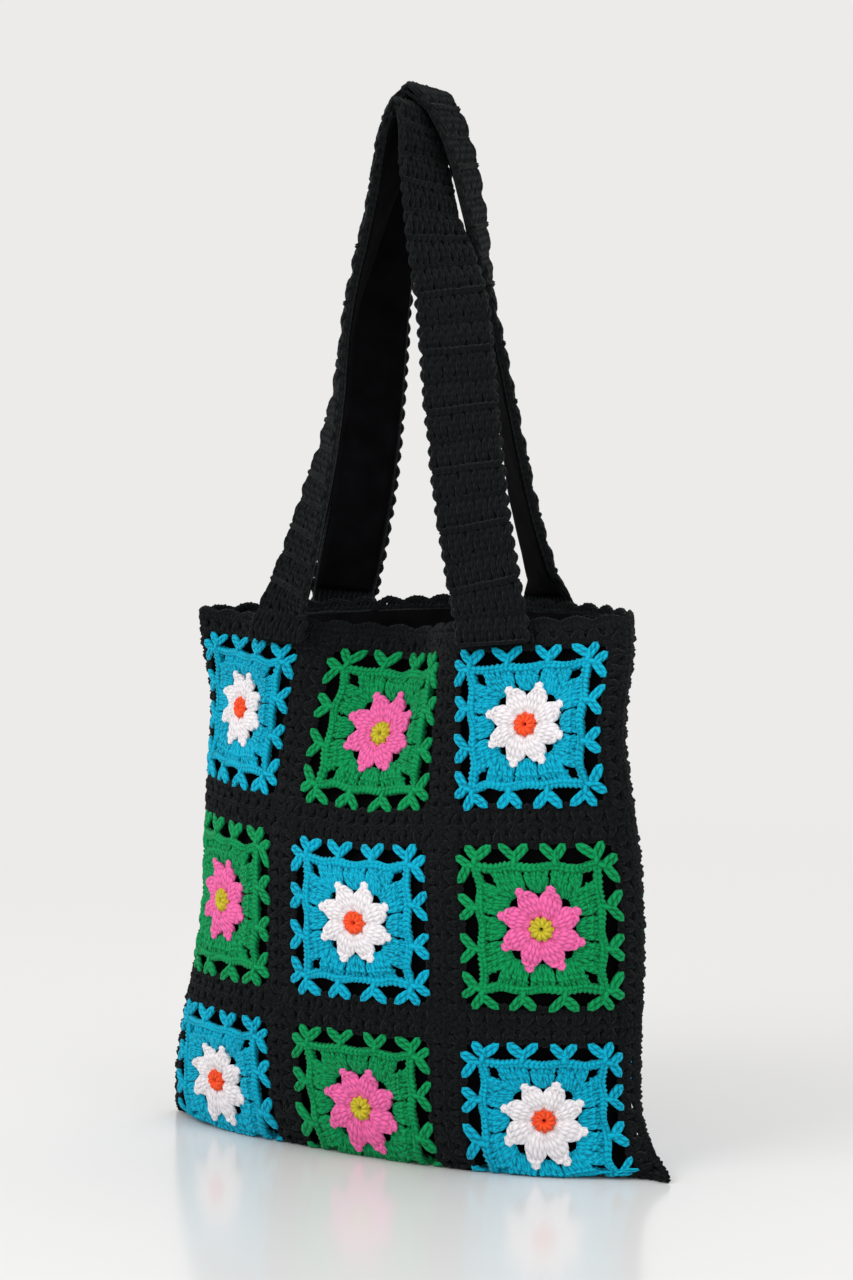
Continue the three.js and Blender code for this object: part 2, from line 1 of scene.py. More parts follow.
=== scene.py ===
# %% [markdown]
# # A crochet tote of flower squares
# Eighteen crocheted squares, nine on each panel, are joined by black crochet into a soft bag with
# two lined straps. A picture could fake the yarn, but only real strands give the true outline,
# the dark gaps and the small shadows. So every strand here is a tube. The stitches are first
# drawn flat, as a pattern sheet would show them, and are then laid on the slouching bag.

# %% The frame and its box
import math

import bpy
import numpy as np
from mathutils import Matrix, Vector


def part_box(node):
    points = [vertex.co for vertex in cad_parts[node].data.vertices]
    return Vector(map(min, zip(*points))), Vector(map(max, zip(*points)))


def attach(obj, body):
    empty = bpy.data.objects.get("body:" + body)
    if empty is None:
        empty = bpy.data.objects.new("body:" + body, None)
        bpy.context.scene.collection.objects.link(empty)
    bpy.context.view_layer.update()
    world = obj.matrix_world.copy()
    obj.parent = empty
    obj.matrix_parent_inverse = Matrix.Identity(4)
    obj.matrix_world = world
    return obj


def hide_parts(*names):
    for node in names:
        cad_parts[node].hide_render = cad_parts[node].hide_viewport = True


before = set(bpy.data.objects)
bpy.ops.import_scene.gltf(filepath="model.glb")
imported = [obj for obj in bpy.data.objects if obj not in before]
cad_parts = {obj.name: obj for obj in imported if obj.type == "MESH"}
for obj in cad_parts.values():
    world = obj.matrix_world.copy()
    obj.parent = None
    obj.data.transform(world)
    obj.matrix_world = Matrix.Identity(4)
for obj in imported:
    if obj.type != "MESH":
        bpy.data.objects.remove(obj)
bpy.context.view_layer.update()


def in_scene(name, data):
    """A new object, linked to the scene."""
    made = bpy.data.objects.new(name, data)
    bpy.context.scene.collection.objects.link(made)
    return made


# %% [markdown]
# ## The camera
# The camera comes first, because it settles what has to look right. Its place and lens were
# worked out from the corners of the squares in the photograph: it looks a little down on the
# bag from the front right.

# %% The camera
MM = 0.001
CAMERA_TURN = math.radians(31.88)
CAMERA_PITCH = math.radians(2.26)
CAMERA_PLACE = (799.67 * MM, -1268.18 * MM, 367.5 * MM)
SENSOR_HEIGHT = 36
LENS_PER_HEIGHT = 2467 / 1280

camera_data = bpy.data.cameras.new("camera")
camera_data.sensor_fit = "VERTICAL"
camera_data.sensor_height = SENSOR_HEIGHT
camera_data.lens = SENSOR_HEIGHT * LENS_PER_HEIGHT
camera = in_scene("camera", camera_data)
camera.location = CAMERA_PLACE
camera.rotation_euler = (math.pi / 2 - CAMERA_PITCH, 0, CAMERA_TURN)
bpy.context.scene.camera = camera
print("lens:", round(camera_data.lens, 1))

# %% [markdown]
# ## The sizes of the bag
# A square is 115 mm from middle to middle. Everything flat is written in millimetres, as a
# pattern would be, and turned into metres when it is laid on the bag.

# %% Sizes in millimetres
ACROSS, UP = 3, 3
PITCH = 115
SIDE_SEAM, TOP_EDGING = 4, 6
CROCHET = 3.2
WIDTH = ACROSS * PITCH + 2 * SIDE_SEAM
HEIGHT = UP * PITCH + TOP_EDGING
HALF = WIDTH / 2
BORDER = 10
SQUARE_HALF = PITCH / 2 - BORDER
PICKETS = 4
CHAIN_HALF = 35.5
FLOWER_RISE = 2.2
print("flat panel:", WIDTH, "by", HEIGHT, "mm")

# %% [markdown]
# ## The slouch of the panels
# The standing bag is described by level sections, from the floor up. Each section keeps the
# length of its cloth and says how far the panel turns towards its seams and how deeply its
# middle is dented. A smooth curve runs through the rows of the table.

# %% The table of sections
SECTION_COLUMNS = ["up", "middle", "back", "seam", "left", "right", "dent", "turn", "shift", "ease"]
SECTIONS = np.array([
    [0.00, 0.00, 0.00, 0.00, 0, 0, 0, 0, 0.00, 7],
    [0.07, 0.00, 0.00, 0.04, 15, 35, 0, 3, -0.01, 6],
    [0.16, 0.09, 0.09, 0.10, 30, 60, 0, 5, -0.02, 2],
    [0.50, 0.42, 0.42, 0.43, 60, 50, -5, 0, 0.01, 1],
    [0.80, 0.70, 0.72, 0.75, 30, 0, 15, -10, -0.01, 1],
    [1.00, 0.90, 0.95, 0.93, -20, 20, 50, 0, -0.01, 1],
])
BEND_POWER = 1.64     # how late the turn comes, from the middle of a panel to its edge
FOLD_POWER = 20       # how sharply the edge turns into the side fold
FOLD_START = 0.085    # share of the height over which the side fold opens
DENT_WAVES = 1.1      # waves of the dent, from the middle to the edge


def through_rows(rows, columns, column, place):
    """A smooth curve through one column of a table, read at places along its first column."""
    x, y = rows[:, 0], rows[:, columns.index(column)]
    slopes = np.diff(y) / np.diff(x)
    before, after = slopes[:-1], slopes[1:]
    same = before * after > 0
    inner = np.where(same, 2 * before * after / np.where(same, before + after, 1), 0)
    tangents = np.concatenate([slopes[:1], inner, slopes[-1:]])
    i = np.clip(np.searchsorted(x, place) - 1, 0, len(x) - 2)
    width = x[i + 1] - x[i]
    t = np.clip((place - x[i]) / width, 0, 1)
    rise = (3 - 2 * t) * t * t
    return (
        y[i] * (1 - rise) + y[i + 1] * rise
        + width * t * (1 - t) * ((1 - t) * tangents[i] - t * tangents[i + 1])
    )


# %% [markdown]
# The sections are worked out once on a fine grid of places across and up each panel, together
# with the way out of the cloth there. Every strand is then laid by reading that grid.

# %% The grid of each panel
ARM_STEPS = 160
GRID_STEP = 1.5
HALVINGS = 30
MOST_BEND = math.radians(112.5)
grid_u = np.linspace(-HALF, HALF, int(WIDTH / GRID_STEP) + 1)
grid_v = np.linspace(0, HEIGHT, int(HEIGHT / GRID_STEP) + 1)
share_up = grid_v / HEIGHT


def column_up(name):
    return through_rows(SECTIONS, SECTION_COLUMNS, name, share_up)


opened = np.minimum(1, share_up / FOLD_START)
side_fold = opened * opened * (3 - 2 * opened)


def arms(angle, dent):
    """Half sections from a panel's middle to its edge, one for each height."""
    t = (np.arange(ARM_STEPS) + 0.5) / ARM_STEPS
    turned = (
        angle[:, None] * t ** BEND_POWER
        - dent[:, None] * np.sin(2 * np.pi * DENT_WAVES * t) * (1 - t * t)
        + ((np.pi / 2 - angle) * side_fold)[:, None] * t ** FOLD_POWER
    )
    steps = np.stack([np.cos(turned), np.sin(turned)], axis=2) * HALF / ARM_STEPS
    start = np.zeros((len(angle), 1, 2))
    return np.concatenate([start, np.cumsum(steps, axis=1)], axis=1)


dent_up = np.radians(column_up("dent"))
right_arm = arms(np.radians(column_up("right")), dent_up)
left_arm = arms(np.radians(column_up("left")), dent_up)
seam_span = right_arm[:, -1] + left_arm[:, -1] * [1, -1]
chord = np.hypot(seam_span[:, 0], seam_span[:, 1])

low, high = np.zeros_like(chord), np.full_like(chord, MOST_BEND)
for halving in range(HALVINGS):
    angle = (low + high) / 2
    too_wide = 2 * arms(angle, 0 * dent_up)[:, -1, 0] > chord
    low, high = np.where(too_wide, angle, low), np.where(too_wide, high, angle)
back_arm = arms((low + high) / 2, 0 * dent_up)


def panel_points(side):
    """The outer face of one panel, in millimetres, for every place on the grid."""
    t = np.abs(grid_u) / HALF
    place = np.linspace(0, 1, ARM_STEPS + 1)
    turn, shift = np.radians(column_up("turn")), column_up("shift") * WIDTH
    middle, seam = column_up("middle" if side > 0 else "back"), column_up("seam")
    slope = np.arctan2(seam_span[:, 1], seam_span[:, 0])
    points = np.empty((len(grid_v), len(grid_u), 3))
    for j in range(len(grid_v)):
        if side > 0:
            right, left = right_arm[j].T, left_arm[j].T
            on_left = grid_u < 0
            across = np.where(on_left, -np.interp(t, place, left[0]), np.interp(t, place, right[0]))
            inward = np.where(on_left, np.interp(t, place, left[1]), np.interp(t, place, right[1]))
            across -= (right[0, -1] - left[0, -1]) / 2
            inward -= (right[1, -1] + left[1, -1]) / 2
            x = across * np.cos(slope[j]) + inward * np.sin(slope[j])
            y = -across * np.sin(slope[j]) + inward * np.cos(slope[j])
        else:
            x = np.sign(grid_u) * np.interp(t, place, back_arm[j][:, 0])
            y = back_arm[j][-1, 1] - np.interp(t, place, back_arm[j][:, 1])
        points[j, :, 0] = x * np.cos(turn[j]) - y * np.sin(turn[j]) + shift[j]
        points[j, :, 1] = x * np.sin(turn[j]) + y * np.cos(turn[j])
        rise = t ** column_up("ease")[j]
        points[j, :, 2] = (middle[j] + (seam[j] - middle[j]) * rise) * HEIGHT
    return points


def unit(vectors):
    return vectors / np.maximum(np.linalg.norm(vectors, axis=-1, keepdims=True), 1e-9)


face = {side: panel_points(side) for side in (1, -1)}
way_out = {}
for side in (1, -1):
    along_v, along_u = np.gradient(face[side], axis=(0, 1))
    way_out[side] = unit(np.cross(along_u, along_v) * side)
for edge in (np.s_[:, 0], np.s_[:, -1], np.s_[0, :]):
    shared = unit(way_out[1][edge] + way_out[-1][edge])
    way_out[1][edge] = way_out[-1][edge] = shared

net_low, net_high = np.array(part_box("black_net"))
both = np.concatenate([face[1].reshape(-1, 3), face[-1].reshape(-1, 3)]) * MM
stand_shift = (net_low + net_high) / 2 - (both.min(0) + both.max(0)) / 2
stand_shift[2] = 0
left_over = net_high - net_low - np.ptp(both, axis=0)
print("stands at", stand_shift.round(4), "size left over", left_over.round(4))


def on_panel(side, flat):
    """Lays points (u, v, depth), in millimetres, on a panel of the standing bag, in metres."""
    u = (flat[:, 0] - grid_u[0]) / (grid_u[1] - grid_u[0])
    v = (flat[:, 1] - grid_v[0]) / (grid_v[1] - grid_v[0])
    i = np.clip(np.floor(u).astype(int), 0, len(grid_u) - 2)
    j = np.clip(np.floor(v).astype(int), 0, len(grid_v) - 2)
    a, b = (u - i)[:, None], (v - j)[:, None]

    def read(grid):
        lower = grid[j, i] * (1 - a) + grid[j, i + 1] * a
        upper = grid[j + 1, i] * (1 - a) + grid[j + 1, i + 1] * a
        return lower * (1 - b) + upper * b

    placed = read(face[side]) + unit(read(way_out[side])) * flat[:, 2:3]
    laid = placed * MM + stand_shift
    laid[:, 2] = np.maximum(laid[:, 2], 0)   # the base is pressed flat where it rests
    return laid


# %% [markdown]
# ## The yarn
# The yarn is two plies twisted together. Modelling the plies would cost too many faces, so the
# twist is a bump. Each tube carries an attribute with the length along the strand and the
# direction round it. From those two the material draws a spiral that follows every bend, and
# fine noise stands for the loose fibres. The colour follows that relief as painted light:
# painted shade darkens the hollows between the plies and a painted highlight lifts the crests.

# %% The yarn's materials
PLY_TURN = 4.2 * MM
FIBRE_SCALE, PATCH_SCALE, FOLD_SCALE = 2200, 90, 60


def linear(colour):
    """An sRGB colour of 0 to 255 as a linear one."""
    shares = [value / 255 for value in colour]
    return [v / 12.92 if v <= 0.04045 else ((v + 0.055) / 1.055) ** 2.4 for v in shares]


def node(tree, kind, **settings):
    made = tree.nodes.new(kind)
    for name, value in settings.items():
        setattr(made, name, value)
    return made


def set_inputs(made, **values):
    """Sets a node's inputs by their names, with _ for a space."""
    for name, value in values.items():
        made.inputs[name.replace("_", " ")].default_value = value


def calculate(tree, operation, *values):
    """A Math node of values and links, and its result."""
    made = node(tree, "ShaderNodeMath", operation=operation)
    for i, value in enumerate(values):
        if isinstance(value, (int, float)):
            made.inputs[i].default_value = value
        else:
            tree.links.new(value, made.inputs[i])
    return made.outputs[0]


def new_material(name, roughness, sheen, specular=0.2):
    material = bpy.data.materials.new(name)
    material.use_nodes = True
    shader = material.node_tree.nodes["Principled BSDF"]
    set_inputs(shader, Roughness=roughness, Specular_IOR_Level=specular)
    set_inputs(shader, Sheen_Weight=sheen, Sheen_Roughness=0.45)
    return material, material.node_tree, shader


def colour_steps(tree, factor, stops):
    ramp = node(tree, "ShaderNodeValToRGB")
    for element, (place, colour) in zip(ramp.color_ramp.elements, (stops[0], stops[-1])):
        element.position = place
        element.color = [*colour, 1]
    for place, colour in stops[1:-1]:
        ramp.color_ramp.elements.new(place).color = [*colour, 1]
    tree.links.new(factor, ramp.inputs["Fac"])
    return ramp.outputs["Color"]


def noise(tree, vector, scale, detail=2):
    """Noise read at a vector, with its value from 0 to 1."""
    made = node(tree, "ShaderNodeTexNoise")
    set_inputs(made, Scale=scale, Detail=detail)
    tree.links.new(vector, made.inputs["Vector"])
    return made.outputs["Fac"]


def colour_and_relief(tree, shader, shades, height, strength, distance):
    relief = node(tree, "ShaderNodeBump")
    set_inputs(relief, Strength=strength, Distance=distance)
    tree.links.new(shades, shader.inputs["Base Color"])
    tree.links.new(height, relief.inputs["Height"])
    tree.links.new(relief.outputs["Normal"], shader.inputs["Normal"])


def yarn(name, colour, painted_hollow_shade=0.5, sheen=0.05, bump=0.35, specular=0.15):
    """Twisted yarn of one colour, with painted shade that darkens the hollows between plies by the
    given share and a painted highlight on their crests.
    """
    material, tree, shader = new_material(name, 0.85, sheen, specular)
    strand = node(tree, "ShaderNodeAttribute", attribute_name="strand")
    split = node(tree, "ShaderNodeSeparateXYZ")
    tree.links.new(strand.outputs["Vector"], split.inputs[0])
    length, cos, sin = split.outputs
    phase = calculate(tree, "MULTIPLY", length, 2 * math.pi / PLY_TURN)
    squares = [calculate(tree, "MULTIPLY", part, part) for part in (cos, sin)]
    double_cos = calculate(tree, "SUBTRACT", *squares)
    double_sin = calculate(tree, "MULTIPLY", calculate(tree, "MULTIPLY", sin, cos), 2)
    ply = calculate(
        tree, "ADD",
        calculate(tree, "MULTIPLY", calculate(tree, "SINE", phase), double_cos),
        calculate(tree, "MULTIPLY", calculate(tree, "COSINE", phase), double_sin),
    )
    where = node(tree, "ShaderNodeTexCoord").outputs["Object"]
    fibres = noise(tree, where, FIBRE_SCALE, detail=3)
    patches = noise(tree, where, PATCH_SCALE)
    lit = linear(colour)
    height = calculate(tree, "ADD", calculate(tree, "MULTIPLY", ply, 0.5), fibres)
    # Painted shade and highlight: the tone follows the ply and fibre relief, darker low and lighter
    # high, mixed with patches of random tone.
    painted_shade_and_patches = calculate(
        tree, "ADD",
        calculate(tree, "MULTIPLY", height, 0.55),
        calculate(tree, "MULTIPLY", patches, 0.35),
    )
    # The lowest stop is painted shade in the hollows and the highest stop is a painted highlight on
    # the crests.
    shades = colour_steps(tree, painted_shade_and_patches, [
        (0.15, [v * (1 - painted_hollow_shade) for v in lit]),
        (0.42, lit),
        (0.85, [min(1, v * 1.12) for v in lit]),
    ])
    colour_and_relief(tree, shader, shades, height, bump, 0.6 * MM)
    return material


yarns = {
    "turquoise_yarn": yarn("turquoise_yarn", (0, 176, 208), painted_hollow_shade=0.65),
    "green_yarn": yarn("green_yarn", (2, 152, 86), painted_hollow_shade=0.65),
    "white_yarn": yarn("white_yarn", (240, 235, 238), painted_hollow_shade=0.25),
    "pink_yarn": yarn("pink_yarn", (245, 110, 175), painted_hollow_shade=0.4),
    "orange_yarn": yarn("orange_yarn", (255, 88, 45), painted_hollow_shade=0.4),
    "olive_yarn": yarn("olive_yarn", (205, 190, 50), painted_hollow_shade=0.4),
    "black_yarn": yarn("black_yarn", (15, 19, 21), painted_hollow_shade=0.8, bump=0.9, specular=0.12),
}
print("yarns:", ", ".join(yarns))

# %% [markdown]
# ## From lines to strands
# A stitch is drawn as a line of points. Geometry Nodes sweep a small ring along it, which is
# how a tube follows any path. The tree also notes the length along the strand and the cosine
# and sine of the direction round it, which are smooth all the way round, where an angle
# would jump.

# %% The tree that makes strands
def new_tree(name, sockets):
    tree = bpy.data.node_groups.new(name, "GeometryNodeTree")
    tree.interface.new_socket("Geometry", in_out="OUTPUT", socket_type="NodeSocketGeometry")
    tree.interface.new_socket("Geometry", in_out="INPUT", socket_type="NodeSocketGeometry")
    for label, kind, value in sockets:
        socket = tree.interface.new_socket(label, in_out="INPUT", socket_type=kind)
        if value is not None:
            socket.default_value = value
    return tree


def join(tree, *pairs):
    for source, target in pairs:
        tree.links.new(source, target)


strand_tree = new_tree("strands_along_lines", [
    ("Yarn radius", "NodeSocketFloat", 1.0),
    ("Sides", "NodeSocketInt", 6),
    ("Material", "NodeSocketMaterial", None),
])
given = node(strand_tree, "NodeGroupInput")
to_curve = node(strand_tree, "GeometryNodeMeshToCurve")
along = node(strand_tree, "GeometryNodeSplineParameter")
keep_length = node(strand_tree, "GeometryNodeCaptureAttribute")
keep_length.capture_items.new("FLOAT", "Length")
ring = node(strand_tree, "GeometryNodeCurvePrimitiveCircle")
round_it = node(strand_tree, "GeometryNodeSplineParameter")
keep_round = node(strand_tree, "GeometryNodeCaptureAttribute")
keep_round.capture_items.new("FLOAT", "Round")
thick = node(strand_tree, "GeometryNodeInputNamedAttribute", data_type="FLOAT")
set_inputs(thick, Name="thick")
radius = calculate(strand_tree, "MULTIPLY", thick.outputs[0], given.outputs["Yarn radius"])
sweep = node(strand_tree, "GeometryNodeCurveToMesh")
set_inputs(sweep, Fill_Caps=True)
turned = calculate(strand_tree, "MULTIPLY", keep_round.outputs[1], 2 * math.pi)
packed = node(strand_tree, "ShaderNodeCombineXYZ")
store = node(strand_tree, "GeometryNodeStoreNamedAttribute", data_type="FLOAT_VECTOR", domain="POINT")
set_inputs(store, Name="strand")
smooth = node(strand_tree, "GeometryNodeSetShadeSmooth")
realize = node(strand_tree, "GeometryNodeRealizeInstances")
finish_yarn = node(strand_tree, "GeometryNodeSetMaterial")
result = node(strand_tree, "NodeGroupOutput")
metres = calculate(strand_tree, "MULTIPLY", keep_length.outputs[1], MM)
join(
    strand_tree,
    (given.outputs["Geometry"], to_curve.inputs[0]),
    (to_curve.outputs[0], keep_length.inputs[0]),
    (along.outputs["Length"], keep_length.inputs[1]),
    (given.outputs["Sides"], ring.inputs["Resolution"]),
    (ring.outputs[0], keep_round.inputs[0]),
    (round_it.outputs["Factor"], keep_round.inputs[1]),
    (keep_length.outputs[0], sweep.inputs["Curve"]),
    (keep_round.outputs[0], sweep.inputs["Profile Curve"]),
    (radius, sweep.inputs["Scale"]),
    (metres, packed.inputs[0]),
    (calculate(strand_tree, "COSINE", turned), packed.inputs[1]),
    (calculate(strand_tree, "SINE", turned), packed.inputs[2]),
    (sweep.outputs[0], store.inputs["Geometry"]),
    (packed.outputs[0], store.inputs["Value"]),
    (store.outputs[0], smooth.inputs[0]),
    (smooth.outputs[0], realize.inputs[0]),
    (realize.outputs[0], finish_yarn.inputs["Geometry"]),
    (given.outputs["Material"], finish_yarn.inputs["Material"]),
    (finish_yarn.outputs[0], result.inputs[0]),
)
print("strand tree:", len(strand_tree.nodes), "nodes")

# %% [markdown]
# Crochet repeats itself in rounds and in rows: eight petals, four sides, many rows of a strap.
# A second tree places copies by a turn and a step. It then pushes every point a little with
# noise, so that no two copies are quite alike, as in work done by hand. The seed is fixed.

# %% The tree that repeats stitches
repeat_tree = new_tree("stitches_in_rounds_and_rows", [
    ("Copies", "NodeSocketInt", 1),
    ("Turn", "NodeSocketFloat", 0.0),
    ("Step", "NodeSocketVector", (0, 0, 0)),
    ("Unevenness", "NodeSocketFloat", 0.8),
    ("Unevenness size", "NodeSocketFloat", 12.0),
    ("Seed", "NodeSocketFloat", 0.0),
    ("Material", "NodeSocketMaterial", None),
])
given = node(repeat_tree, "NodeGroupInput")
spots = node(repeat_tree, "GeometryNodePoints")
index = node(repeat_tree, "GeometryNodeInputIndex")
stepped = node(repeat_tree, "ShaderNodeVectorMath", operation="SCALE")
spread_out = node(repeat_tree, "GeometryNodeSetPosition")
turns = node(repeat_tree, "ShaderNodeCombineXYZ")
rotation = node(repeat_tree, "FunctionNodeEulerToRotation")
copies = node(repeat_tree, "GeometryNodeInstanceOnPoints")
realize = node(repeat_tree, "GeometryNodeRealizeInstances")
position = node(repeat_tree, "GeometryNodeInputPosition")
push = node(repeat_tree, "ShaderNodeTexNoise", noise_dimensions="4D")
centred = node(repeat_tree, "ShaderNodeVectorMath", operation="SUBTRACT")
centred.inputs[1].default_value = (0.5, 0.5, 0.5)
pushed = node(repeat_tree, "ShaderNodeVectorMath", operation="SCALE")
uneven = node(repeat_tree, "GeometryNodeSetPosition")
finish_stitches = node(repeat_tree, "GeometryNodeSetMaterial")
result = node(repeat_tree, "NodeGroupOutput")
join(
    repeat_tree,
    (given.outputs["Copies"], spots.inputs["Count"]),
    (given.outputs["Step"], stepped.inputs[0]),
    (index.outputs[0], stepped.inputs["Scale"]),
    (spots.outputs[0], spread_out.inputs["Geometry"]),
    (stepped.outputs[0], spread_out.inputs["Position"]),
    (calculate(repeat_tree, "MULTIPLY", index.outputs[0], given.outputs["Turn"]), turns.inputs[2]),
    (turns.outputs[0], rotation.inputs[0]),
    (spread_out.outputs[0], copies.inputs["Points"]),
    (given.outputs["Geometry"], copies.inputs["Instance"]),
    (rotation.outputs[0], copies.inputs["Rotation"]),
    (copies.outputs[0], realize.inputs[0]),
    (realize.outputs[0], uneven.inputs["Geometry"]),
    (position.outputs[0], push.inputs["Vector"]),
    (given.outputs["Seed"], push.inputs["W"]),
    (calculate(repeat_tree, "DIVIDE", 1.0, given.outputs["Unevenness size"]), push.inputs["Scale"]),
    (push.outputs["Color"], centred.inputs[0]),
    (centred.outputs[0], pushed.inputs[0]),
    (given.outputs["Unevenness"], pushed.inputs["Scale"]),
    (pushed.outputs[0], uneven.inputs["Offset"]),
    (uneven.outputs[0], finish_stitches.inputs["Geometry"]),
    (given.outputs["Material"], finish_stitches.inputs["Material"]),
    (finish_stitches.outputs[0], result.inputs[0]),
)
print("repeat tree:", len(repeat_tree.nodes), "nodes")


# %% Running a tree and keeping its mesh
def run_tree(mesh, tree, **values):
    """The mesh that a tree makes of another. Inputs are set by their sockets' identifiers."""
    holder = in_scene("holder", mesh)
    modifier = holder.modifiers.new("tree", "NODES")
    modifier.node_group = tree
    for label, value in values.items():
        socket = tree.interface.items_tree[label.replace("_", " ")]
        modifier[socket.identifier] = value
    bpy.context.view_layer.update()
    evaluated = holder.evaluated_get(bpy.context.evaluated_depsgraph_get())
    made = bpy.data.meshes.new_from_object(evaluated)
    bpy.data.objects.remove(holder)
    return made


def line_mesh(lines):
    """Lines of points, each with its thickness, as loose edges."""
    points = np.concatenate([line for line, thickness in lines])
    edges, start = [], 0
    for line, thickness in lines:
        edges += [(start + k, start + k + 1) for k in range(len(line) - 1)]
        start += len(line)
    mesh = bpy.data.meshes.new("lines")
    mesh.from_pydata(points.tolist(), edges, [])
    thickness = np.concatenate([np.broadcast_to(value, len(line)) for line, value in lines])
    mesh.attributes.new("thick", "FLOAT", "POINT").data.foreach_set("value", thickness)
    return mesh


def strands(lines, yarn_name, sides=5):
    mesh = line_mesh(lines)
    return run_tree(mesh, strand_tree, Yarn_radius=1.0, Sides=sides, Material=yarns[yarn_name])


def repeated(mesh, yarn_name, copies=1, turn=0.0, step=(0, 0, 0), unevenness=0.0, size=12.0, seed=0.0):
    return run_tree(
        mesh, repeat_tree, Copies=copies, Turn=turn, Step=step,
        Unevenness=unevenness, Unevenness_size=size, Seed=seed, Material=yarns[yarn_name],
    )


def joined(meshes):
    """Several meshes of one yarn as one."""
    parts = [in_scene("part", mesh) for mesh in meshes]
    with bpy.context.temp_override(active_object=parts[0], selected_editable_objects=parts):
        bpy.ops.object.join()
    mesh = parts[0].data
    bpy.data.objects.remove(parts[0])
    return mesh


def read_points(mesh):
    points = np.empty(len(mesh.vertices) * 3)
    mesh.vertices.foreach_get("co", points)
    return points.reshape(-1, 3)


def piece(name, mesh, points, yarn_name, replaced):
    """A finished piece: a copy of a flat mesh with its points laid in place."""
    laid = mesh.copy()
    laid.name = name
    laid.vertices.foreach_set("co", points.ravel())
    laid.materials.clear()
    laid.materials.append(yarns[yarn_name])
    laid.update()
    made = in_scene(name, laid)
    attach(made, "root")
    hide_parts(replaced)
    return made


# %% [markdown]
# ## Stitches as lines
# Two kinds of line make up all the crochet. A post is a pair of strands that wind half round
# each other, with one loop of yarn over them. A plait is the row of V shapes along the top of
# a row of stitches. Three strands that weave past each other give the same look.

# %% Posts and plaits
def post(start, end, radius=1.05, width=0.95, bow=0.9, turns=0.65, phase=0.0, steps=6, wrap=True):
    """The lines of one tall stitch from start to end, bowed up in its middle."""
    start, end = np.array(start, float), np.array(end, float)
    t = np.linspace(0, 1, steps + 1)
    ahead = unit(end - start)
    aside = unit(np.cross([0, 0, 1], ahead))
    spine = start + (end - start) * t[:, None]
    spine[:, 2] += bow * np.sin(np.pi * t)
    swing = 2 * np.pi * turns * t + phase
    lines = []
    for hand in (1, -1):
        offset = aside * (hand * width * np.cos(swing))[:, None]
        offset[:, 2] += hand * width * 0.6 * np.sin(swing)
        lines.append((spine + offset, radius * (0.85 + 0.2 * np.sin(np.pi * t))))
    if wrap:
        reach = aside * width * 1.7
        middle = start + (end - start) * 0.62
        rise = np.array([0, 0, bow + radius * 0.75])
        slant = ahead * width * 1.3
        lines.append((
            np.array([middle - reach - slant, middle - reach * 0.3 - slant * 0.3 + rise,
                      middle + reach * 0.3 + slant * 0.3 + rise, middle + reach + slant]),
            radius * 0.85,
        ))
    return lines


def plait(path, pitch=6.0, radius=0.85, width=1.2, lift=0.55, strands_in=3, per_pitch=5):
    """Strands that weave past each other along a path of points."""
    path = np.array(path, float)
    run = np.concatenate([[0], np.cumsum(np.linalg.norm(np.diff(path, axis=0), axis=1))])
    count = max(3, int(run[-1] / pitch * per_pitch) + 1)
    s = np.linspace(0, run[-1], count)
    spine = np.stack([np.interp(s, run, path[:, k]) for k in range(3)], axis=1)
    ahead = unit(np.gradient(spine, axis=0))
    aside = unit(np.cross([0, 0, 1], ahead))
    lines = []
    for k in range(strands_in):
        phase = 2 * np.pi * (s / pitch + k / strands_in)
        offset = aside * (width * np.sin(phase))[:, None]
        offset[:, 2] += lift * np.sin(2 * phase)
        lines.append((spine + offset, radius))
    return lines


# %% [markdown]
# ## The flower
# Each petal is a bobble: several tall stitches drawn together at both ends, so it swells like a
# little cushion, and it ends in a small knot, the picot. Fat strands fill it from below, five
# strands fan over them, and one loop closes its end. One petal is drawn, and the round repeats
# it eight times.

# %% The flower and its centre
PETALS = 8
PETAL_TIP = 26
PETAL_START = 5.8
PETAL_END = 22.2
PETAL_FAN = 5.3
FLOWER_CENTRE = 6.6


def petal():
    lines = []
    t = np.linspace(0, 1, 8)
    spread = np.sin(np.pi * (0.08 + 0.70 * t ** 1.3)) ** 0.85
    dome = np.sin(np.pi * np.clip(0.05 + 0.86 * t, 0, 1)) ** 0.7

    def fan_line(share, lower, radius):
        x = share * PETAL_FAN * spread
        y = PETAL_START + (PETAL_END - PETAL_START - 1.8 * share * share) * t
        w = -1.8 + (FLOWER_RISE + 1.2) * dome - 1.5 * share * share - lower
        return np.stack([x, y, w], axis=1), radius

    for share in (-0.5, 0.5):
        lines.append(fan_line(share, 1.1, 2.5 * (0.45 + 0.5 * spread)))
    for share in (-1, -0.5, 0, 0.5, 1):
        lines.append(fan_line(share, 0.0, 1.5 * (0.62 + 0.4 * spread)))
    closing = [
        [-4.4, 19.4, -0.7], [-2.6, 21.6, 0.7], [0.2, 22.4, 1.2], [2.8, 21.4, 0.7], [4.4, 19.0, -0.7],
    ]
    knot = [
        [-2.8, 21.8, 0.3], [-3.4, 24.0, 0.7], [-1.9, PETAL_TIP - 0.9, 0.9], [-0.1, 24.6, 0.7],
        [0.2, 22.0, 0.4],
    ]
    knot_middle = [[-1.5, 21.5, 0.6], [-1.6, 23.2, 1.1], [-1.7, 24.6, 0.7]]
    for points, radius in ((closing, 1.35), (knot, 1.25), (knot_middle, 1.3)):
        lines.append((np.array(points), radius))
    half_step = math.pi / PETALS
    cos, sin = math.cos(half_step), math.sin(half_step)
    turned = []
    for line, thickness in lines:
        x, y, w = line.T
        turned.append((np.stack([x * cos + y * sin, y * cos - x * sin, w], axis=1), thickness))
    return turned


def centre_bump():
    radii = np.array([1.3, 2.2, 3.6, 5.0, FLOWER_CENTRE - 0.4])
    rise = np.array([-0.7, 1.2, 1.9, 1.3, -0.6])
    return [(np.stack([0 * radii, radii, rise], axis=1), [0.8, 1.1, 1.55, 1.95, 1.7])]


def seeded(build, seeds=(1.0, 5.0, 9.0)):
    return [build(seed) for seed in seeds]


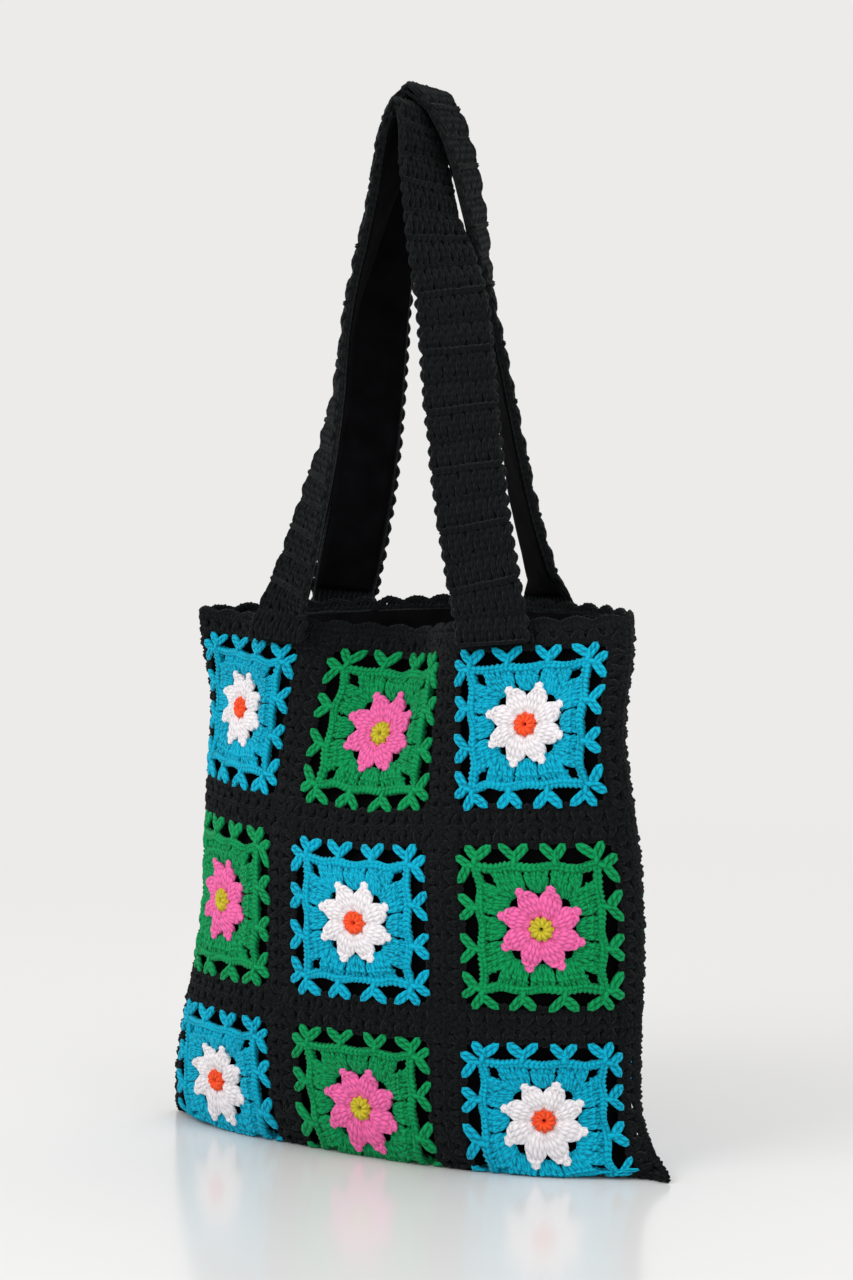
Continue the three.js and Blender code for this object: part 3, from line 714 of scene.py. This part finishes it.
petal_mesh = strands(petal(), "white_yarn", sides=6)
flower_sheets = seeded(lambda seed: repeated(
    petal_mesh, "white_yarn", PETALS, 2 * math.pi / PETALS, unevenness=1.5, size=11, seed=seed))
bump_mesh = strands(centre_bump(), "orange_yarn", sides=6)
around = np.linspace(0, 2 * np.pi, 17)
core = [(np.stack([3.9 * np.cos(around), 3.9 * np.sin(around), 0 * around - 0.6], axis=1), 2.6)]
CENTRE_STITCHES = 10
centre_sheet = joined([
    repeated(bump_mesh, "orange_yarn", CENTRE_STITCHES, 2 * math.pi / CENTRE_STITCHES),
    strands(core, "orange_yarn", sides=6),
])
print("flower:", len(flower_sheets[0].polygons), "faces, centre:", len(centre_sheet.polygons))

# %% [markdown]
# ## The coloured square
# Round the flower stand twelve groups of tall stitches, three to a side: four stitches in the
# middle group and five in the outer ones, with rounded feet towards the petals. A plaited row
# squares them off and leaves a hole in each corner. Outside it stand sixteen picots, each a
# short stem with two fat arms. A side is drawn and turned four times.

# %% One side of a square
GROUP_STEP = 17.0
POST_STEP = 3.95
GROUP_TURN = math.radians(31)
POST_TURN = math.radians(6.6)
FOOT = 20.6
PICKET_STEP = 2 * SQUARE_HALF / PICKETS
ARM_REACH = 7.8
CORNER_REACH = 4.6


def rope(start, end, radius, width, turns, steps=7, thin_end=0.75, bow=0.6):
    """Two strands wound round each other, as in a chain of loops, thinner at the far end."""
    lines = post(start, end, radius, width, bow=bow, turns=turns, steps=steps, wrap=False)
    t = np.linspace(0, 1, steps + 1)
    return [(line, radius * (1 - (1 - thin_end) * t ** 3)) for line, thickness in lines]


def loop(start, end, radius, width, bow=0.8):
    """One strand that runs out and back again round a blunt tip, as a drawn-up chain stitch does."""
    start, end = np.array(start, float), np.array(end, float)
    ahead = end - start
    aside = unit(np.cross([0, 0, 1], unit(ahead)))
    shares = np.array([0, 0.3, 0.62, 0.88, 1, 0.88, 0.62, 0.3, 0])
    out = np.array([0.6, 1.1, 1.25, 0.95, 0, -0.95, -1.25, -1.1, -0.6])
    line = start + ahead * shares[:, None] + aside * (width * out)[:, None]
    line[:, 2] += bow * np.sin(np.pi * shares * 0.85)
    return [(line, radius)]


def fan(group, feet):
    """Tall stitches side by side on one foot, over fat strands that fill the fan."""
    lines = []
    for j in feet:
        angle = group * GROUP_TURN + j * POST_TURN
        foot = FOOT + 1.5 * (j / 1.5) ** 2 + 0.9 * abs(group)
        start = [foot * math.sin(angle), foot * math.cos(angle), -2.2]
        end = [group * GROUP_STEP + j * POST_STEP, CHAIN_HALF - 1.6, -1.6]
        lines += post(start, end, 1.32, 0.95, bow=1.9, phase=1.3 * j + group, steps=5)
    for j in (feet[:-1] + feet[1:]) / 2:
        angle = group * GROUP_TURN + j * POST_TURN
        foot = FOOT + 1.8 + 1.2 * (j / 1.5) ** 2
        start = [foot * math.sin(angle), foot * math.cos(angle), -3.0]
        end = [group * GROUP_STEP + j * POST_STEP, CHAIN_HALF - 0.8, -3.0]
        lines.append((np.linspace(start, end, 4), 2.2))
    return lines


def side_of_square():
    lines = []
    feet = np.array([-1.5, -0.5, 0.5, 1.5])
    lines += fan(0, feet)
    for hand in (-1, 1):
        lines += fan(hand, hand * np.array([-1.5, -0.5, 0.5, 1.5, 2.4]))
    reach = CHAIN_HALF - 0.6
    along = np.linspace(-reach, reach, 33)
    wander = 0.8 * np.cos(2 * np.pi * along / PICKET_STEP + np.pi) + 0.4 * np.sin(along / 5)
    chain = np.stack([along, CHAIN_HALF - 0.6 + wander, 0 * along - 0.5], axis=1)
    lines += plait(chain, pitch=6.2, radius=1.8, width=1.55, strands_in=2, per_pitch=4)
    lines += plait(chain - [0, 0.3, 1.6], pitch=8.4, radius=2.1, width=0.9, strands_in=2, per_pitch=3)
    for i in range(PICKETS):
        x = (i + 0.5) * PICKET_STEP - SQUARE_HALF
        fork = [x, CHAIN_HALF + 4.4, -0.8]
        lines += rope([x, CHAIN_HALF + 0.2, -1.2], fork, 1.75, 1.3, 0.4, steps=3, thin_end=1)
        for hand, stray in ((-1, 1.3 * math.sin(2.1 * i + 1)), (1, 1.3 * math.cos(1.7 * i))):
            at_corner = abs(x + hand * PICKET_STEP) > SQUARE_HALF
            arm = CORNER_REACH if at_corner else ARM_REACH + stray
            tip = [x + hand * arm, SQUARE_HALF - 0.4 - 0.5 * abs(stray), -0.9]
            heel = [x - hand * 0.8, CHAIN_HALF + 3.6, -0.6]
            lines += loop(heel, tip, 1.6, 1.15)
    return lines


side_mesh = strands(side_of_square(), "turquoise_yarn")
square_sheets = seeded(lambda seed: repeated(
    side_mesh, "turquoise_yarn", 4, math.pi / 2, unevenness=3.2, size=14, seed=seed))
print("square:", len(square_sheets[0].polygons), "faces")

# %% [markdown]
# ## Laying the squares
# Turquoise and green squares alternate like a chessboard on both panels. Each is one of three uneven
# versions, turned by some quarters, so neighbours of one colour still differ.

# %% The eighteen squares
LOOKS = {
    True: ("turquoise_yarn", "white_yarn", "orange_yarn"),
    False: ("green_yarn", "pink_yarn", "olive_yarn"),
}


def lay_flat(mesh, name, side, column, row, quarters, yarn_name):
    flat = read_points(mesh)
    cos, sin = round(math.cos(quarters * math.pi / 2)), round(math.sin(quarters * math.pi / 2))
    x, y = flat[:, 0] * cos - flat[:, 1] * sin, flat[:, 0] * sin + flat[:, 1] * cos
    u = (column - (ACROSS - 1) / 2) * PITCH + x * side
    v = (UP - 0.5 - row) * PITCH + y
    points = on_panel(side, np.stack([u, v, flat[:, 2]], axis=1))
    return piece(f"{name}_yarn", mesh, points, yarn_name, name)


for panel, side in (("front", 1), ("back", -1)):
    for row in range(UP):
        for column in range(ACROSS):
            square_yarn, flower_yarn, centre_yarn = LOOKS[(row + column) % 2 == 0]
            label = f"r{row + 1}c{column + 1}"
            version = (row * 2 + column + (side < 0)) % 3
            quarters = (row + 2 * column) % 4
            place = (side, column, row, quarters)
            lay_flat(square_sheets[version], f"{panel}_square_{label}", *place, square_yarn)
            lay_flat(flower_sheets[version], f"{panel}_flower_{label}", *place, flower_yarn)
            lay_flat(centre_sheet, f"{panel}_centre_{label}", *place, centre_yarn)
print("squares laid:", 2 * UP * ACROSS)

# %% [markdown]
# ## The black net
# Black crochet goes round every square and joins it to its neighbours. A rope passes through
# the tips of the picots, and from it posts zigzag to the plaited line between two squares. The
# gaps stay open and show the dark lining. One side of a cell is drawn and repeated round the
# square, then across and up the panel.

# %% One side of a cell of the net
CELL_HALF = PITCH / 2
TIP_LINE = SQUARE_HALF + 1.4
NET_POSTS = 20


def side_of_cell():
    along = np.linspace(-TIP_LINE, TIP_LINE, 65)
    dip = 1.7 * np.cos(np.pi * along / PICKET_STEP) ** 2 + 0.4 * np.sin(along / 3)
    lines = plait(np.stack([along, TIP_LINE - dip, 0 * along - 1.7], axis=1), pitch=7, radius=1.5,
                  width=1.3, strands_in=2)
    for k in range(NET_POSTS):
        x = (k + 0.5) * 2 * TIP_LINE / NET_POSTS - TIP_LINE
        lean = 2.6 if k % 2 else -2.6
        lines += post([x - lean * 0.4, TIP_LINE, -1.7], [x + lean, CELL_HALF - 0.6, -1.6], 1.55, 1.0,
                      bow=0.9, phase=k, steps=3, wrap=False)
    for x, y in ((0, 1), (0.4, 0.8), (0.85, 0.9)):
        start = [TIP_LINE - 1, TIP_LINE - 1, -1.7]
        end = [TIP_LINE + 8 * y, TIP_LINE + 8 * x, -1.6]
        lines += post(start, end, 1.5, 0.9, bow=0.3, steps=3, wrap=False)
    for y in (TIP_LINE + 2.6, TIP_LINE + 5.8):
        lines.append((np.linspace([-y, y, -3.0], [y, y, -3.0], 12), 2.0))
    return lines


cell_side = strands(side_of_cell(), "black_yarn", sides=4)
cell = repeated(cell_side, "black_yarn", 4, math.pi / 2)
cell_row = repeated(cell, "black_yarn", ACROSS, step=(PITCH, 0, 0))
cells = repeated(cell_row, "black_yarn", UP, step=(0, PITCH, 0))
first_cell = np.array([-(ACROSS - 1) / 2 * PITCH, PITCH / 2, 0])
cells.vertices.foreach_set("co", (read_points(cells) + first_cell).ravel())
print("net cells:", len(cells.polygons), "faces")

# %% [markdown]
# The lines between the squares, the side seams and the base are plaits. The top edge is a row
# of small shells, six to a square.

# %% Joining lines and the scalloped top edge
SCALLOPS = 6
scallop_step = PITCH / SCALLOPS
top = UP * PITCH


def scalloped(u):
    return top + TOP_EDGING - 3.4 + 3.0 * np.abs(np.sin(np.pi * (u + CELL_HALF) / scallop_step))


def joining_lines():
    lines = []
    plain = dict(pitch=7.5, radius=1.5, width=1.2, lift=0.6, strands_in=2)
    for row in range(UP + 1):
        v = row * PITCH + (0.6 if row == 0 else 0)
        lines += plait([[-HALF, v, -1.5], [HALF, v, -1.5]], **plain)
    for column in range(1, ACROSS):
        u = (column - ACROSS / 2) * PITCH
        lines += plait([[u, 0, -1.4], [u, top, -1.4]], **plain)
    for hand in (-1, 1):
        for inset in (0.8, 3.6):
            u = hand * (HALF - inset)
            lines += plait([[u, 1, -1.4], [u, top + 3, -1.4]], **plain)
    u = np.linspace(-HALF, HALF, 220)
    lines += plait(np.stack([u, scalloped(u), 0 * u - 1.3], axis=1), pitch=6, radius=1.25, width=1.15)
    for u in np.arange(-HALF + 1.5, HALF, 3.2):
        end = [u + 0.6 * math.sin(u), scalloped(u) - 0.6, -1.5]
        lines += post([u, top - 0.5, -1.6], end, 1.3, 0.8, bow=0.3, steps=3, phase=u, wrap=False)
    return lines


joining = strands(joining_lines(), "black_yarn", sides=4)
net_sheet = joined([cells, joining])
for panel, side, seed in (("front", 1, 3.0), ("back", -1, 7.0)):
    sheet_mesh = repeated(net_sheet, "black_yarn", unevenness=2.6, size=9, seed=seed)
    flat = read_points(sheet_mesh)
    flat[:, 0] *= side
    made = piece(f"net_{panel}_yarn", sheet_mesh, on_panel(side, flat), "black_yarn", "black_net")
    print(made.name, len(sheet_mesh.polygons), "faces")

# %% [markdown]
# ## The straps
# Each strap is a crocheted band whose crown stands a little to the right, and it twists from
# facing outwards at the bag to facing upwards at the crown. Its middle line and twist come from
# a table, and a flat strip of stitches is laid along it, as the squares were laid on the
# panels.

# %% The way of each strap
STRAP_WIDTH, STRAP_THICKNESS = 43, 5
STRAP_SPACING = {1: 179, -1: 149}
STRAP_OFFSET = {1: 6, -1: -8.5}
STRAP_RISE, STRAP_TAB, STRAP_SEAT = 312, 14, 1.3
CROWN_LEAN, CROWN_DEPTH, CROWN_GAP = 7.5, 6.5, 5
STRAP_LINING, STRAP_LINING_MARGIN = 1, 4
STRAP_COLUMNS = ["rise", "left", "right", "depth", "left turn", "right turn"]
STRAP_ROWS = {
    1: np.array([
        [0.00, 1.00, 1.00, 1.00, 20, 15],
        [0.20, 0.75, 0.80, 0.85, 35, 20],
        [0.40, 0.55, 0.65, 0.70, 50, 25],
        [0.60, 0.45, 0.50, 0.50, 60, 40],
        [0.80, 0.25, 0.20, 0.25, 70, 75],
        [0.90, 0.15, 0.10, 0.12, 80, 80],
        [0.95, 0.09, 0.07, 0.08, 85, 85],
        [1.00, 0.00, 0.00, 0.00, 90, 90],
    ]),
    -1: np.array([
        [0.00, 1.00, 1.00, 1.00, 30, 40],
        [0.20, 0.80, 0.75, 0.85, 30, 45],
        [0.40, 0.65, 0.60, 0.70, 45, 50],
        [0.60, 0.50, 0.50, 0.50, 60, 60],
        [0.80, 0.30, 0.40, 0.25, 75, 75],
        [0.90, 0.20, 0.30, 0.12, 80, 80],
        [0.95, 0.14, 0.20, 0.06, 85, 85],
        [1.00, 0.00, 0.00, 0.00, 90, 90],
    ]),
}


def strap_column(side, name, rise):
    return through_rows(STRAP_ROWS[side], STRAP_COLUMNS, name, rise)


def strap_way(side):
    """Middle line, way across and way out along a strap, in metres, with the length so far."""
    end_u = [STRAP_OFFSET[side] + hand * STRAP_SPACING[side] / 2 for hand in (-1, 1)]
    ends = on_panel(side, np.array([[u, HEIGHT, STRAP_SEAT] for u in end_u]))
    top_z = (HEIGHT * SECTIONS[-1, SECTION_COLUMNS.index("seam")] + STRAP_RISE) * MM
    lower = (STRAP_THICKNESS + STRAP_LINING + CROWN_GAP) * MM if side > 0 else 0
    crown = stand_shift + [CROWN_LEAN * MM, -side * CROWN_DEPTH * MM, top_z - lower]
    rises = np.linspace(0.05, 1, 70)
    legs = []
    for hand, end in zip(("left", "right"), ends):
        middle = np.stack([
            crown[0] + (end[0] - crown[0]) * strap_column(side, hand, rises),
            crown[1] + (end[1] - crown[1]) * strap_column(side, "depth", rises),
            end[2] + (crown[2] - end[2]) * rises,
        ], axis=1)
        legs.append((middle, np.radians(strap_column(side, f"{hand} turn", rises))))
    middle = np.concatenate([legs[0][0], legs[1][0][-2::-1]])
    twist = np.concatenate([legs[0][1], legs[1][1][-2::-1]])
    line = np.concatenate([ends[:1], middle, ends[1:]])
    tangent = unit(line[2:] - line[:-2])
    over = unit(np.stack([-tangent[:, 2], 0 * twist, tangent[:, 0]], axis=1))
    out = np.cos(twist)[:, None] * np.array([0, -side, 0]) + np.sin(twist)[:, None] * over
    out = unit(out - tangent * (out * tangent).sum(1, keepdims=True))
    across = np.cross(out, tangent) * -side
    tabs = []
    for hand, u in zip((-1, 1), end_u):
        spots = np.array([[u, v, STRAP_SEAT] for v in [HEIGHT - STRAP_TAB, HEIGHT][::-hand]])
        right = unit(on_panel(side, spots - [hand, 0, 0]) - on_panel(side, spots))
        above = unit(on_panel(side, spots + [0, 0, 1]) - on_panel(side, spots))
        tabs.append((on_panel(side, spots), right, above))
    middle = np.concatenate([tabs[0][0], middle, tabs[1][0]])
    across = np.concatenate([tabs[0][1], across, tabs[1][1]])
    out = np.concatenate([tabs[0][2], out, tabs[1][2]])
    length = np.concatenate([[0], np.cumsum(np.linalg.norm(np.diff(middle, axis=0), axis=1))])
    return middle, across, out, length / MM


ways = {side: strap_way(side) for side in (1, -1)}


def on_strap(side, flat):
    """Lays points (across, along, depth), in millimetres, on a strap, in metres."""
    middle, across, out, length = ways[side]
    read = [np.stack([np.interp(flat[:, 1], length, part[:, k]) for k in range(3)], axis=1)
            for part in (middle, across, out)]
    return read[0] + unit(read[1]) * flat[:, :1] * MM + unit(read[2]) * flat[:, 2:3] * MM


for side in (1, -1):
    print("strap length:", round(ways[side][3][-1]), "mm")

# %% [markdown]
# A row of the strap is eleven tall stitches with a plait across their tops, which stands higher
# in every second row. Small loops stand out at both edges, and a bed of fat strands closes the
# band. Two rows are drawn, and the repeating tree steps them along the band.

# %% The stitches of a strap
ROW = 17.8
STRAP_POSTS = 11
BED_STRANDS = 12
EDGE = STRAP_WIDTH / 2


def two_rows():
    lines = []
    for x in np.linspace(-EDGE + 3.2, EDGE - 3.2, BED_STRANDS):
        lines.append((np.array([[x, 0, 1.3], [x, ROW, 1.3], [x, 2 * ROW, 1.3]]), 2.0))
    post_step = (STRAP_WIDTH - 5) / (STRAP_POSTS - 1)
    for row in (0, 1):
        low, high = row * ROW, (row + 1) * ROW
        for k in range(STRAP_POSTS):
            x = (k - (STRAP_POSTS - 1) / 2) * post_step
            lean = 0.6 * (-1) ** k + 0.5 * math.sin(2.3 * k + 4 * row)
            lines += post([x - lean, low + 1.0, 2.6], [x + lean, high - 1.2, 2.8], 1.42, 0.9,
                          bow=1.5, turns=0.9, phase=k + 2 * row, wrap=False)
        ridge = 4.2 if row else 2.6
        lines += plait([[-EDGE + 1.5, high, ridge], [EDGE - 1.5, high, ridge]], pitch=7.5,
                       radius=1.6, width=0.9, strands_in=2)
        for hand in (-1, 1):
            for from_y, to_y in ((low + 1, low + 9.4), (low + 8.6, high + 0.6)):
                t = np.linspace(0, 1, 7)
                bulge = np.sin(np.pi * t)
                x = hand * (EDGE - 3.2 + 3.0 * bulge)
                y = from_y + (to_y - from_y) * t
                lines.append((np.stack([x, y, 2.2 + 0.5 * bulge], axis=1), 1.4))
    return lines


row_mesh = strands(two_rows(), "black_yarn", sides=4)
for panel, side, seed in (("front", 1, 2.0), ("back", -1, 6.0)):
    total = ways[side][3][-1]
    pairs = round(total / (2 * ROW))
    strip = repeated(
        row_mesh, "black_yarn", pairs, step=(0, 2 * ROW, 0), unevenness=1.8, size=8, seed=seed)
    flat = read_points(strip)
    flat[:, 1] = flat[:, 1] * total / (2 * ROW * pairs)
    made = piece(
        f"strap_{panel}_yarn", strip, on_strap(side, flat), "black_yarn", f"strap_{panel}")
    print(made.name, len(strip.polygons), "faces")

# %% [markdown]
# ## The lining
# Plain woven cloth lines the bag and the straps. It shows inside the straps, in the mouth of
# the bag and through the gaps of the crochet. It is thin cloth with soft wrinkles, so a grid
# is laid at its depth and thickened. The weave is a bump that follows the cloth's own UV map.
# Finer folds are a bump too. The colour follows them as painted shade in their hollows and a
# painted highlight on their ridges.

# %% The lining's material
THREAD = 0.55 * MM


def lining_material():
    material, tree, shader = new_material("lining_cloth", 0.95, 0.0, specular=0.02)
    where = node(tree, "ShaderNodeUVMap", uv_map="cloth")
    split = node(tree, "ShaderNodeSeparateXYZ")
    tree.links.new(where.outputs[0], split.inputs[0])
    waves = [calculate(tree, "MULTIPLY", split.outputs[k], 2 * math.pi / THREAD) for k in (0, 1)]
    weave = calculate(tree, "MULTIPLY", *[calculate(tree, "SINE", wave) for wave in waves])
    fold_relief_and_shade = noise(tree, where.outputs[0], FOLD_SCALE)
    height = calculate(tree, "ADD", calculate(tree, "MULTIPLY", weave, 0.12), fold_relief_and_shade)
    base = linear((13, 13, 15))
    # Painted shade and highlight: the cloth is darker in the hollows of the fold bump and lighter on
    # its ridges.
    shades = colour_steps(tree, fold_relief_and_shade, [
        (0.3, [v * 0.7 for v in base]),
        (0.7, [v * 1.3 for v in base]),
    ])
    colour_and_relief(tree, shader, shades, height, 0.4, 0.8 * MM)
    return material


lining_cloth = lining_material()


def cloth(name, grids, place, replaced):
    """Cloth from grids of flat points, welded where they meet and thickened inwards."""
    points, faces, uvs = [], [], []
    for grid, flip in grids:
        rows, columns = grid.shape[:2]
        start = len(points)
        points += place(grid.reshape(-1, 3), flip).tolist()
        for j in range(rows - 1):
            for i in range(columns - 1):
                a = start + j * columns + i
                corners = [a, a + 1, a + columns + 1, a + columns]
                faces.append(corners[::-1] if flip < 0 else corners)
        uvs += (grid.reshape(-1, 3)[:, :2] * [1, flip] * MM).tolist()
    mesh = bpy.data.meshes.new(name)
    mesh.from_pydata(points, [], faces)
    layer = mesh.uv_layers.new(name="cloth")
    corner_vertex = np.array([corner for face_corners in faces for corner in face_corners])
    layer.data.foreach_set("uv", np.array(uvs)[corner_vertex].ravel())
    mesh.shade_smooth()
    mesh.materials.append(lining_cloth)
    made = in_scene(name, mesh)
    if len(grids) > 1:
        weld = made.modifiers.new("weld", "WELD")
        weld.merge_threshold = 0.05 * MM
    wall = made.modifiers.new("wall", "SOLIDIFY")
    wall.thickness = STRAP_LINING * MM
    wall.offset = -1
    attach(made, "root")
    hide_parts(replaced)


# %% The lining of the bag
LINING_SLACK = 2.9
LINING_TOP = 0.975
LINING_GRID = 50, 74
LINING_INSET = 9      # from a strap's sewn end to its lining
SLACK_ROWS = np.array([
    [0.000, 1.0], [0.058, 1.2], [0.098, 1.6], [0.135, 1.6], [0.175, 1.2], [0.330, 1.0],
    [0.490, 1.0], [0.660, 1.1], [0.780, 1.2], [0.880, 1.0], [0.975, 1.0],
])


def lining_grid(side):
    share = np.linspace(0, LINING_TOP, LINING_GRID[0])
    u = np.linspace(-HALF, HALF, LINING_GRID[1])
    grid = np.empty((len(share), len(u), 3))
    slack = np.interp(share, SLACK_ROWS[:, 0], SLACK_ROWS[:, 1]) * LINING_SLACK
    drawn_in = 1 - 2 * SIDE_SEAM / HALF * np.clip(1 - share / 0.05, 0, 1)
    grid[..., 0] = u * drawn_in[:, None]
    grid[..., 1] = (share * HEIGHT)[:, None]
    wrinkle = 0.7 * np.sin(u / 17 + 2 * np.sin(share * 9)[:, None]) * (np.abs(u) < HALF - 12)
    grid[..., 2] = -CROCHET - slack[:, None] - np.maximum(0, wrinkle)
    return grid


cloth(
    "bag_lining_cloth", [(lining_grid(1), 1), (lining_grid(-1), -1)],
    lambda flat, side: on_panel(side, flat),
    "bag_lining",
)

# %% The linings of the straps
for panel, side in (("front", 1), ("back", -1)):
    total = ways[side][3][-1]
    half_lining = EDGE - STRAP_LINING_MARGIN
    s = np.linspace(STRAP_TAB + LINING_INSET, total - STRAP_TAB - LINING_INSET, 180)
    a = np.linspace(-half_lining, half_lining, 13)
    grid = np.empty((len(s), len(a), 3))
    grid[..., 0] = a + 0.5 * np.sin(s / 13)[:, None] * np.sign(a)
    grid[..., 1] = s[:, None]
    grid[..., 2] = -0.5 - 0.45 * np.maximum(0, np.sin(s[:, None] / 8 + a / 6))
    cloth(
        f"strap_lining_{panel}_cloth", [(grid, side)], lambda flat, side: on_strap(side, flat),
        f"strap_lining_{panel}",
    )
print("linings made")

# %% [markdown]
# ## The studio
# The bag stands on a pale, slightly glossy floor that melts into a pale background. A large
# soft light from the upper left gives it form, and the even surroundings fill the shadows.

# %% Floor and lights
BACKGROUND = linear((236, 235, 234))
world = bpy.data.worlds.new("studio")
world.use_nodes = True
set_inputs(world.node_tree.nodes["Background"], Color=[*BACKGROUND, 1], Strength=1.0)
bpy.context.scene.world = world
bpy.context.scene.view_settings.view_transform = "Standard"

FLOOR_RADIUS = 12.0
angles = np.linspace(0, 2 * np.pi, 65)[:-1]
rim = [(FLOOR_RADIUS * math.cos(a), FLOOR_RADIUS * math.sin(a), -0.0005) for a in angles]
floor_mesh = bpy.data.meshes.new("floor")
floor_mesh.from_pydata(rim, [], [list(range(len(rim)))])
floor = in_scene("floor", floor_mesh)
floor_material = bpy.data.materials.new("pale_floor")
floor_material.use_nodes = True
tree = floor_material.node_tree
shader = tree.nodes["Principled BSDF"]
set_inputs(shader, Base_Color=[0.86, 0.86, 0.86, 1], Roughness=0.18, Specular_IOR_Level=0.35)
glow = node(tree, "ShaderNodeEmission")
set_inputs(glow, Color=[*BACKGROUND, 1])
blend = node(tree, "ShaderNodeMixShader")
where = node(tree, "ShaderNodeTexCoord")
far = node(tree, "ShaderNodeVectorMath", operation="LENGTH")
fade = node(tree, "ShaderNodeMapRange", interpolation_type="SMOOTHSTEP")
set_inputs(fade, From_Min=0.5, From_Max=2.6)
join(
    tree,
    (where.outputs["Object"], far.inputs[0]),
    (far.outputs["Value"], fade.inputs["Value"]),
    (fade.outputs["Result"], blend.inputs[0]),
    (shader.outputs[0], blend.inputs[1]),
    (glow.outputs[0], blend.inputs[2]),
    (blend.outputs[0], tree.nodes["Material Output"].inputs["Surface"]),
)
floor_mesh.materials.append(floor_material)


def soft_light(name, place, target, size, watts):
    data = bpy.data.lights.new(name, "AREA")
    data.size, data.energy = size, watts
    light = in_scene(name, data)
    light.location = place
    away = np.array(place) - np.array(target)
    turn = math.atan2(away[1], away[0]) + math.pi / 2
    tilt = math.atan2(math.hypot(away[0], away[1]), away[2])
    light.rotation_euler = (tilt, 0, turn)


LIT = (0, 0, 0.3)
soft_light("key", (-0.7, -1.9, 1.9), LIT, 1.4, 22)
soft_light("right_fill", (2.0, -0.6, 1.2), LIT, 1.4, 8)
print("studio ready")
